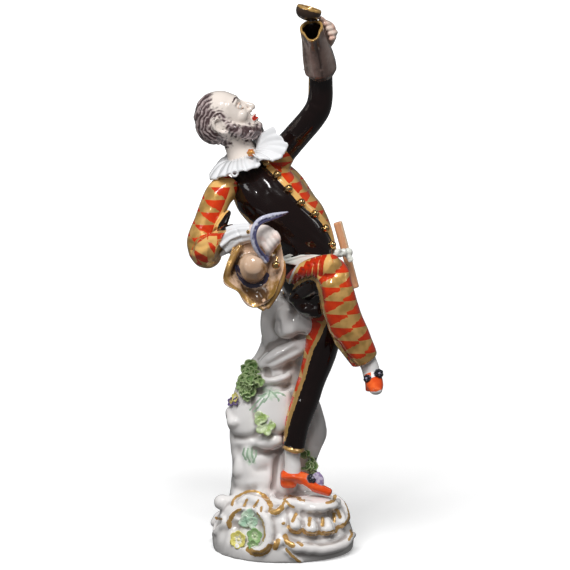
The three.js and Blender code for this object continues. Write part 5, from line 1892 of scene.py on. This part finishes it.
# Head
# The head leans back to look up at the jug: a calm, plain face with a bald crown, curly hair round the back
# and sides, and a full beard along the jaw. It is pressed in two halves, joined, and painted in thin
# strokes.
head_up = towards(-0.66, 0, 0.75)
face_front = towards(0.75, 0, 0.66)
head_side = towards(0, -1, 0)
head_frame = np.array([face_front, head_side, head_up])
head_centre = at(-18.9, 8, 121.3)


def on_head(front, side, above):
    """A place on the head, measured from its middle forwards, to the player's right and up."""
    return head_centre + np.array([front, side, above], dtype=float) @ head_frame


def head_spots(*places):
    return [on_head(*place) for place in places]


head_forms = [
    ball(on_head(-0.6, 0, 1.8), [8.1, 6.9, 7.7], head_frame, 48, 28),
    tube(
        head_spots((2.4, 0, 2.4), (2.8, 0, -2.8), (3.6, 0, -7.6)),
        [6.2, 5.6, 3.9],
        [5.5, 4.9, 3.6],
        front=face_front,
        sides=44,
    ),
    ball(on_head(5.6, 0, -8.9), [2.4, 2.8, 2.0], head_frame),
    tube(
        head_spots((6.9, 0, 1.2), (8.0, 0, -0.8), (9.2, 0, -2.9), (9.3, 0, -3.7)),
        [0.8, 0.85, 1.05, 0.9],
        [0.9, 0.9, 1.0, 0.8],
        front=face_front,
    ),
    tube([at(-12.0, 8, 106), at(-14.0, 8, 112.4), at(-16.6, 8, 117.6)], [5.6, 4.6, 4.8], sides=36),
    tube(head_spots((7.2, -1.9, -5.9), (8.1, 0, -5.75), (7.2, 1.9, -5.9)), [0.35, 0.62, 0.35]),
    tube(head_spots((7.0, -1.6, -6.7), (7.9, 0, -7.0), (7.0, 1.6, -6.7)), [0.4, 0.72, 0.4]),
]
for side in (-1, 1):
    outwards = unit(towards(-0.3, 0, 0.1) + side * head_side)
    ear_frame = np.array([face_front, outwards, head_up])
    head_forms += [
        ball(on_head(4.6, 3.4 * side, -2.9), [2.6, 2.2, 2.3], head_frame),
        tube(
            [on_head(6.4, 1.0 * side, 1.5), on_head(6.8, 2.8 * side, 1.9), on_head(5.6, 4.6 * side, 1.3)],
            [0.7, 0.8, 0.6],
        ),
        ball(on_head(8.0, 1.05 * side, -3.5), [0.95, 0.75, 0.8], head_frame),
        ball(on_head(-1.9, 6.9 * side, -0.7), [1.5, 0.8, 2.5], ear_frame),
        tube(
            [
                on_head(-0.6, 6.9 * side, 0.4),
                on_head(-1.2, 7.6 * side, 1.9),
                on_head(-2.9, 8.0 * side, 1.7),
                on_head(-3.6, 8.0 * side, -0.4),
                on_head(-2.8, 7.6 * side, -2.6),
                on_head(-1.6, 7.0 * side, -3.6),
            ],
            [0.45, 0.55, 0.6, 0.55, 0.5, 0.7],
            sides=14,
        ),
    ]
jaw = head_spots(
    (-0.2, -6.3, -1.6), (1.6, -5.7, -6.0), (4.0, -3.4, -8.6), (5.0, 0, -9.6), (4.0, 3.4, -8.6),
    (1.6, 5.7, -6.0), (-0.2, 6.3, -1.6),
)
head_forms.append(tube(jaw, [1.4, 2.2, 2.5, 2.6, 2.5, 2.2, 1.4], front=face_front, sides=28))
head_forms.append(ball(on_head(-2.3, 0, 0.3), [7.4, 7.3, 7.2], head_frame, 48, 28))
head = Clay(head_forms, 0.21)
for side in (-1, 1):
    head.carve([on_head(7.6, 2.0 * side, -0.2), on_head(7.0, 3.6 * side, -0.3)], 1.15, 0.95)
    head.carve([on_head(-1.6, 7.9 * side, 0.7), on_head(-1.9, 8.0 * side, -1.4)], 0.55, 0.6)
    head.carve([on_head(7.6, 2.1 * side, -4.2), on_head(6.6, 3.3 * side, -6.6)], 0.6, 0.3)
head.carve(head_spots((7.9, -1.9, -6.35), (8.6, 0, -6.35), (7.9, 1.9, -6.35)), 0.28, 0.4)

# Seen from the side, the hair reaches from the crown's back round the ear, and the beard follows the jaw.
hair_edge = [
    (3.0, 9.6), (1.2, 7.2), (-0.4, 5.6), (0.2, 4.0), (1.8, 2.9), (1.5, 0.8), (1.0, -1.6), (0.2, -2.6),
    (-0.6, -1.0), (-0.4, 1.6), (-1.8, 2.6), (-3.6, 2.4), (-4.6, 0.4), (-3.9, -2.4), (-3.0, -4.2),
    (-3.4, -7.6), (-7.0, -7.8), (-11, -3), (-11, 6), (-6, 12),
]
beard_edge = [
    (1.4, 0.4), (1.5, -2.6), (3.0, -4.6), (5.0, -6.4), (5.6, -7.6), (7.0, -8.0), (9.0, -8.6), (8.6, -13),
    (3.0, -13), (0.6, -9.6), (-1.4, -5.8), (-1.2, -2.4), (0.2, -1.0),
]
head_shares = (head.points - head_centre) @ head_frame.T
from_side = head_shares[:, [0, 2]]
hair_gap = np.minimum(round_outline(from_side, hair_edge), round_outline(from_side, beard_edge))

# Locks sweep round behind the ear in waves and run along the jaw, and they wind into curls at the nape.
ear_place = [-1.6, -0.8]
from_ear = from_side - ear_place
ear_gap = np.linalg.norm(from_ear, axis=1)
ear_turn = np.arctan2(from_ear[:, 1], from_ear[:, 0])
swept = np.sin(2 * math.pi * ear_gap / 1.25 + 1.6 * np.sin(4 * ear_turn) + 1.2 * lumps(head.points, 2.5, 61))
bearded = np.sin(9 * ear_turn + 1.3 * np.sin(1.1 * ear_gap) + 1.6 * lumps(head.points, 2.5, 63))
curled = np.sin(
    2.6 * head_shares[:, 0] + 1.5 * np.sin(1.7 * head_shares[:, 2])
) * np.sin(2.4 * head_shares[:, 2])
nape_share = np.clip(
    (-3.0 - head_shares[:, 2]) / 2.0, 0, 1
) * np.clip((-1.0 - head_shares[:, 0]) / 2.0, 0, 1)
jaw_share = np.clip((head_shares[:, 0] + 0.4) / 1.2, 0, 1) * np.clip((1.0 - head_shares[:, 2]) / 2.0, 0, 1)
relief = swept * (1 - jaw_share) + bearded * jaw_share
relief = relief * (1 - nape_share) + 1.6 * curled * nape_share
in_hair = np.clip(-hair_gap / 0.9, 0, 1)
head.push(0.17 * relief * in_hair)
head.mark("hair", hair_gap + 0.3 * lumps(head.points, 1.1, 62) + 0.35 * relief)
# The relief also sets the hair's colour: painted shade in its grooves and painted highlight on its ridges.
head.mark("curl", relief)


def paint_head(name, line, half_width):
    """A brush stroke on the head along a line of places in the frame."""
    head.stroke(name, line_distance(head.points, line)[0] - half_width, front_only=False)


eyes = Bunch()
for side in (-1, 1):
    eyes.add(ball(on_head(5.95, 2.75 * side, -0.35), [1.2, 1.25, 1.15], head_frame, 28, 18), lid=unpainted)
    for stops, radius in (
        ([(6.6, 1.45, -0.35), (7.2, 2.1, 0.4), (7.0, 3.1, 0.45), (5.9, 4.1, -0.2)], [0.2, 0.3, 0.3, 0.2]),
        (
            [(6.6, 1.45, -0.45), (7.1, 2.2, -1.15), (6.8, 3.1, -1.15), (5.9, 4.1, -0.35)],
            [0.16, 0.24, 0.24, 0.16],
        ),
    ):
        line = [on_head(front, across * side, above) for front, across, above in stops]
        eyes.add(tube(line, radius, sides=12), lid=-1.0)
    brow = [on_head(7.4, 1.2 * side, 1.9), on_head(7.3, 2.8 * side, 2.7), on_head(5.9, 4.6 * side, 2.3)]
    paint_head("brow", smooth_line(brow, 12), 0.3)
lips = head_spots((7.4, -1.8, -6.3), (8.6, 0, -6.35), (7.4, 1.8, -6.3))
paint_head("lips", smooth_line(lips, 12), 0.75)
eye_gaze = [on_head(7.2, 2.6 * side, -0.1) for side in (-1, 1)]
iris = np.min([np.linalg.norm(eyes.points - gaze, axis=1) for gaze in eye_gaze], axis=0)
eyes.marks["iris"] = np.where(eyes.marks["lid"] > 0, iris - 0.55, unpainted)

flesh = (0.86, 0.77, 0.70)
hair_dark = (0.080, 0.048, 0.050)
hair_light = (0.52, 0.42, 0.41)
flesh_glaze = Glaze("flesh_glaze", ground=flesh)
flesh_glaze.paint("lips", (0.52, 0.035, 0.018), ragged=0.05)
flesh_glaze.paint("brow", hair_dark, ragged=0.12)
strands = flesh_glaze.patches(1100.0, 3.0, 0.35, 0.65)
# The hair's tone follows random streaks, with painted shade in the grooves and painted highlight on the
# ridges.
streaks_and_relief_shade = flesh_glaze.ramp(flesh_glaze.sum("ADD", flesh_glaze.read("curl"), strands), -0.3, 1.9)
flesh_glaze.paint("hair", flesh_glaze.mix(streaks_and_relief_shade, hair_dark, hair_light), ragged=0.35, edge=0.9)
fired("head", head, flesh_glaze.done())
eye_glaze = Glaze("eye_glaze", ground=(0.88, 0.86, 0.82))
eye_glaze.paint("iris", (0.05, 0.028, 0.02))
eye_glaze.paint("lid", (0.80, 0.62, 0.52))
fired("eyes", eyes, eye_glaze.done())

# Floor and light
# A pale floor that rises into a pale wall. Four lamps, at the left, the right, the left front and above,
# show in the glaze as bright panes and points. A large one in front doesn't show there, and the last one
# lights the wall.
floor_width = 6.0
floor_front = -2.5
wall_start = 1.2
wall_radius = 0.8
wall_height = 2.5

profile = [(floor_front, 0.0), (wall_start, 0.0)]
for bend in np.radians(range(10, 91, 10)):
    profile.append((wall_start + wall_radius * math.sin(bend), wall_radius * (1 - math.cos(bend))))
profile.append((wall_start + wall_radius, wall_height))
sweep_corners = [(side * floor_width / 2, y, z) for y, z in profile for side in (-1, 1)]
sweep_faces = [(2 * row, 2 * row + 1, 2 * row + 3, 2 * row + 2) for row in range(len(profile) - 1)]
sweep_mesh = bpy.data.meshes.new("floor")
sweep_mesh.from_pydata(sweep_corners, [], sweep_faces)
sweep_mesh.shade_smooth()
floor_paint = bpy.data.materials.new("floor")
floor_paint.use_nodes = True
floor_look = floor_paint.node_tree.nodes["Principled BSDF"].inputs
floor_look["Base Color"].default_value = (0.93, 0.93, 0.93, 1)
floor_look["Roughness"].default_value = 0.8
floor_look["Emission Color"].default_value = (1, 1, 1, 1)
floor_look["Emission Strength"].default_value = 0.25
sweep_mesh.materials.append(floor_paint)
sweep = bpy.data.objects.new("floor", sweep_mesh)
scene_objects.link(sweep)
sweep.visible_diffuse = False
sweep.visible_glossy = False


def lamp(name, place, size, power, aimed_at=tuple(view_target * mm), mirrored=True):
    """A soft lamp. One that isn't mirrored lights the glaze without showing in it, as through a
    polariser."""
    data = bpy.data.lights.new(name, "AREA")
    data.shape = "RECTANGLE"
    data.size, data.size_y = size
    data.energy = power
    shone = bpy.data.objects.new(name, data)
    shone.location = place
    aim = Vector(aimed_at) - Vector(place)
    shone.rotation_euler = aim.to_track_quat("-Z", "Y").to_euler()
    shone.visible_glossy = mirrored
    scene_objects.link(shone)


lamp("left_softbox", (-0.6, -0.5, 0.5), (0.16, 0.22), 0.4)
lamp("right_softbox", (0.8, -0.1, 0.6), (0.12, 0.3), 0.5)
lamp("top_softbox", (0.12, -0.5, 0.9), (0.2, 0.16), 2.4)
lamp("left_bulb", (-0.3, -0.75, 0.5), (0.05, 0.05), 0.6)
lamp("front_fill", (-0.25, -0.75, 1.15), (0.8, 0.6), 13.5, mirrored=False)
lamp("wall_wash", (0.0, 0.75, 1.3), (2.0, 0.5), 32.0, (0.0, 2.0, 0.5))

world = bpy.data.worlds.new("room")
bpy.context.scene.world = world
world.use_nodes = True
world.node_tree.nodes["Background"].inputs["Color"].default_value = (1.0, 1.0, 1.0, 1)
world.node_tree.nodes["Background"].inputs["Strength"].default_value = 0.11
bpy.context.scene.view_settings.view_transform = "Standard"
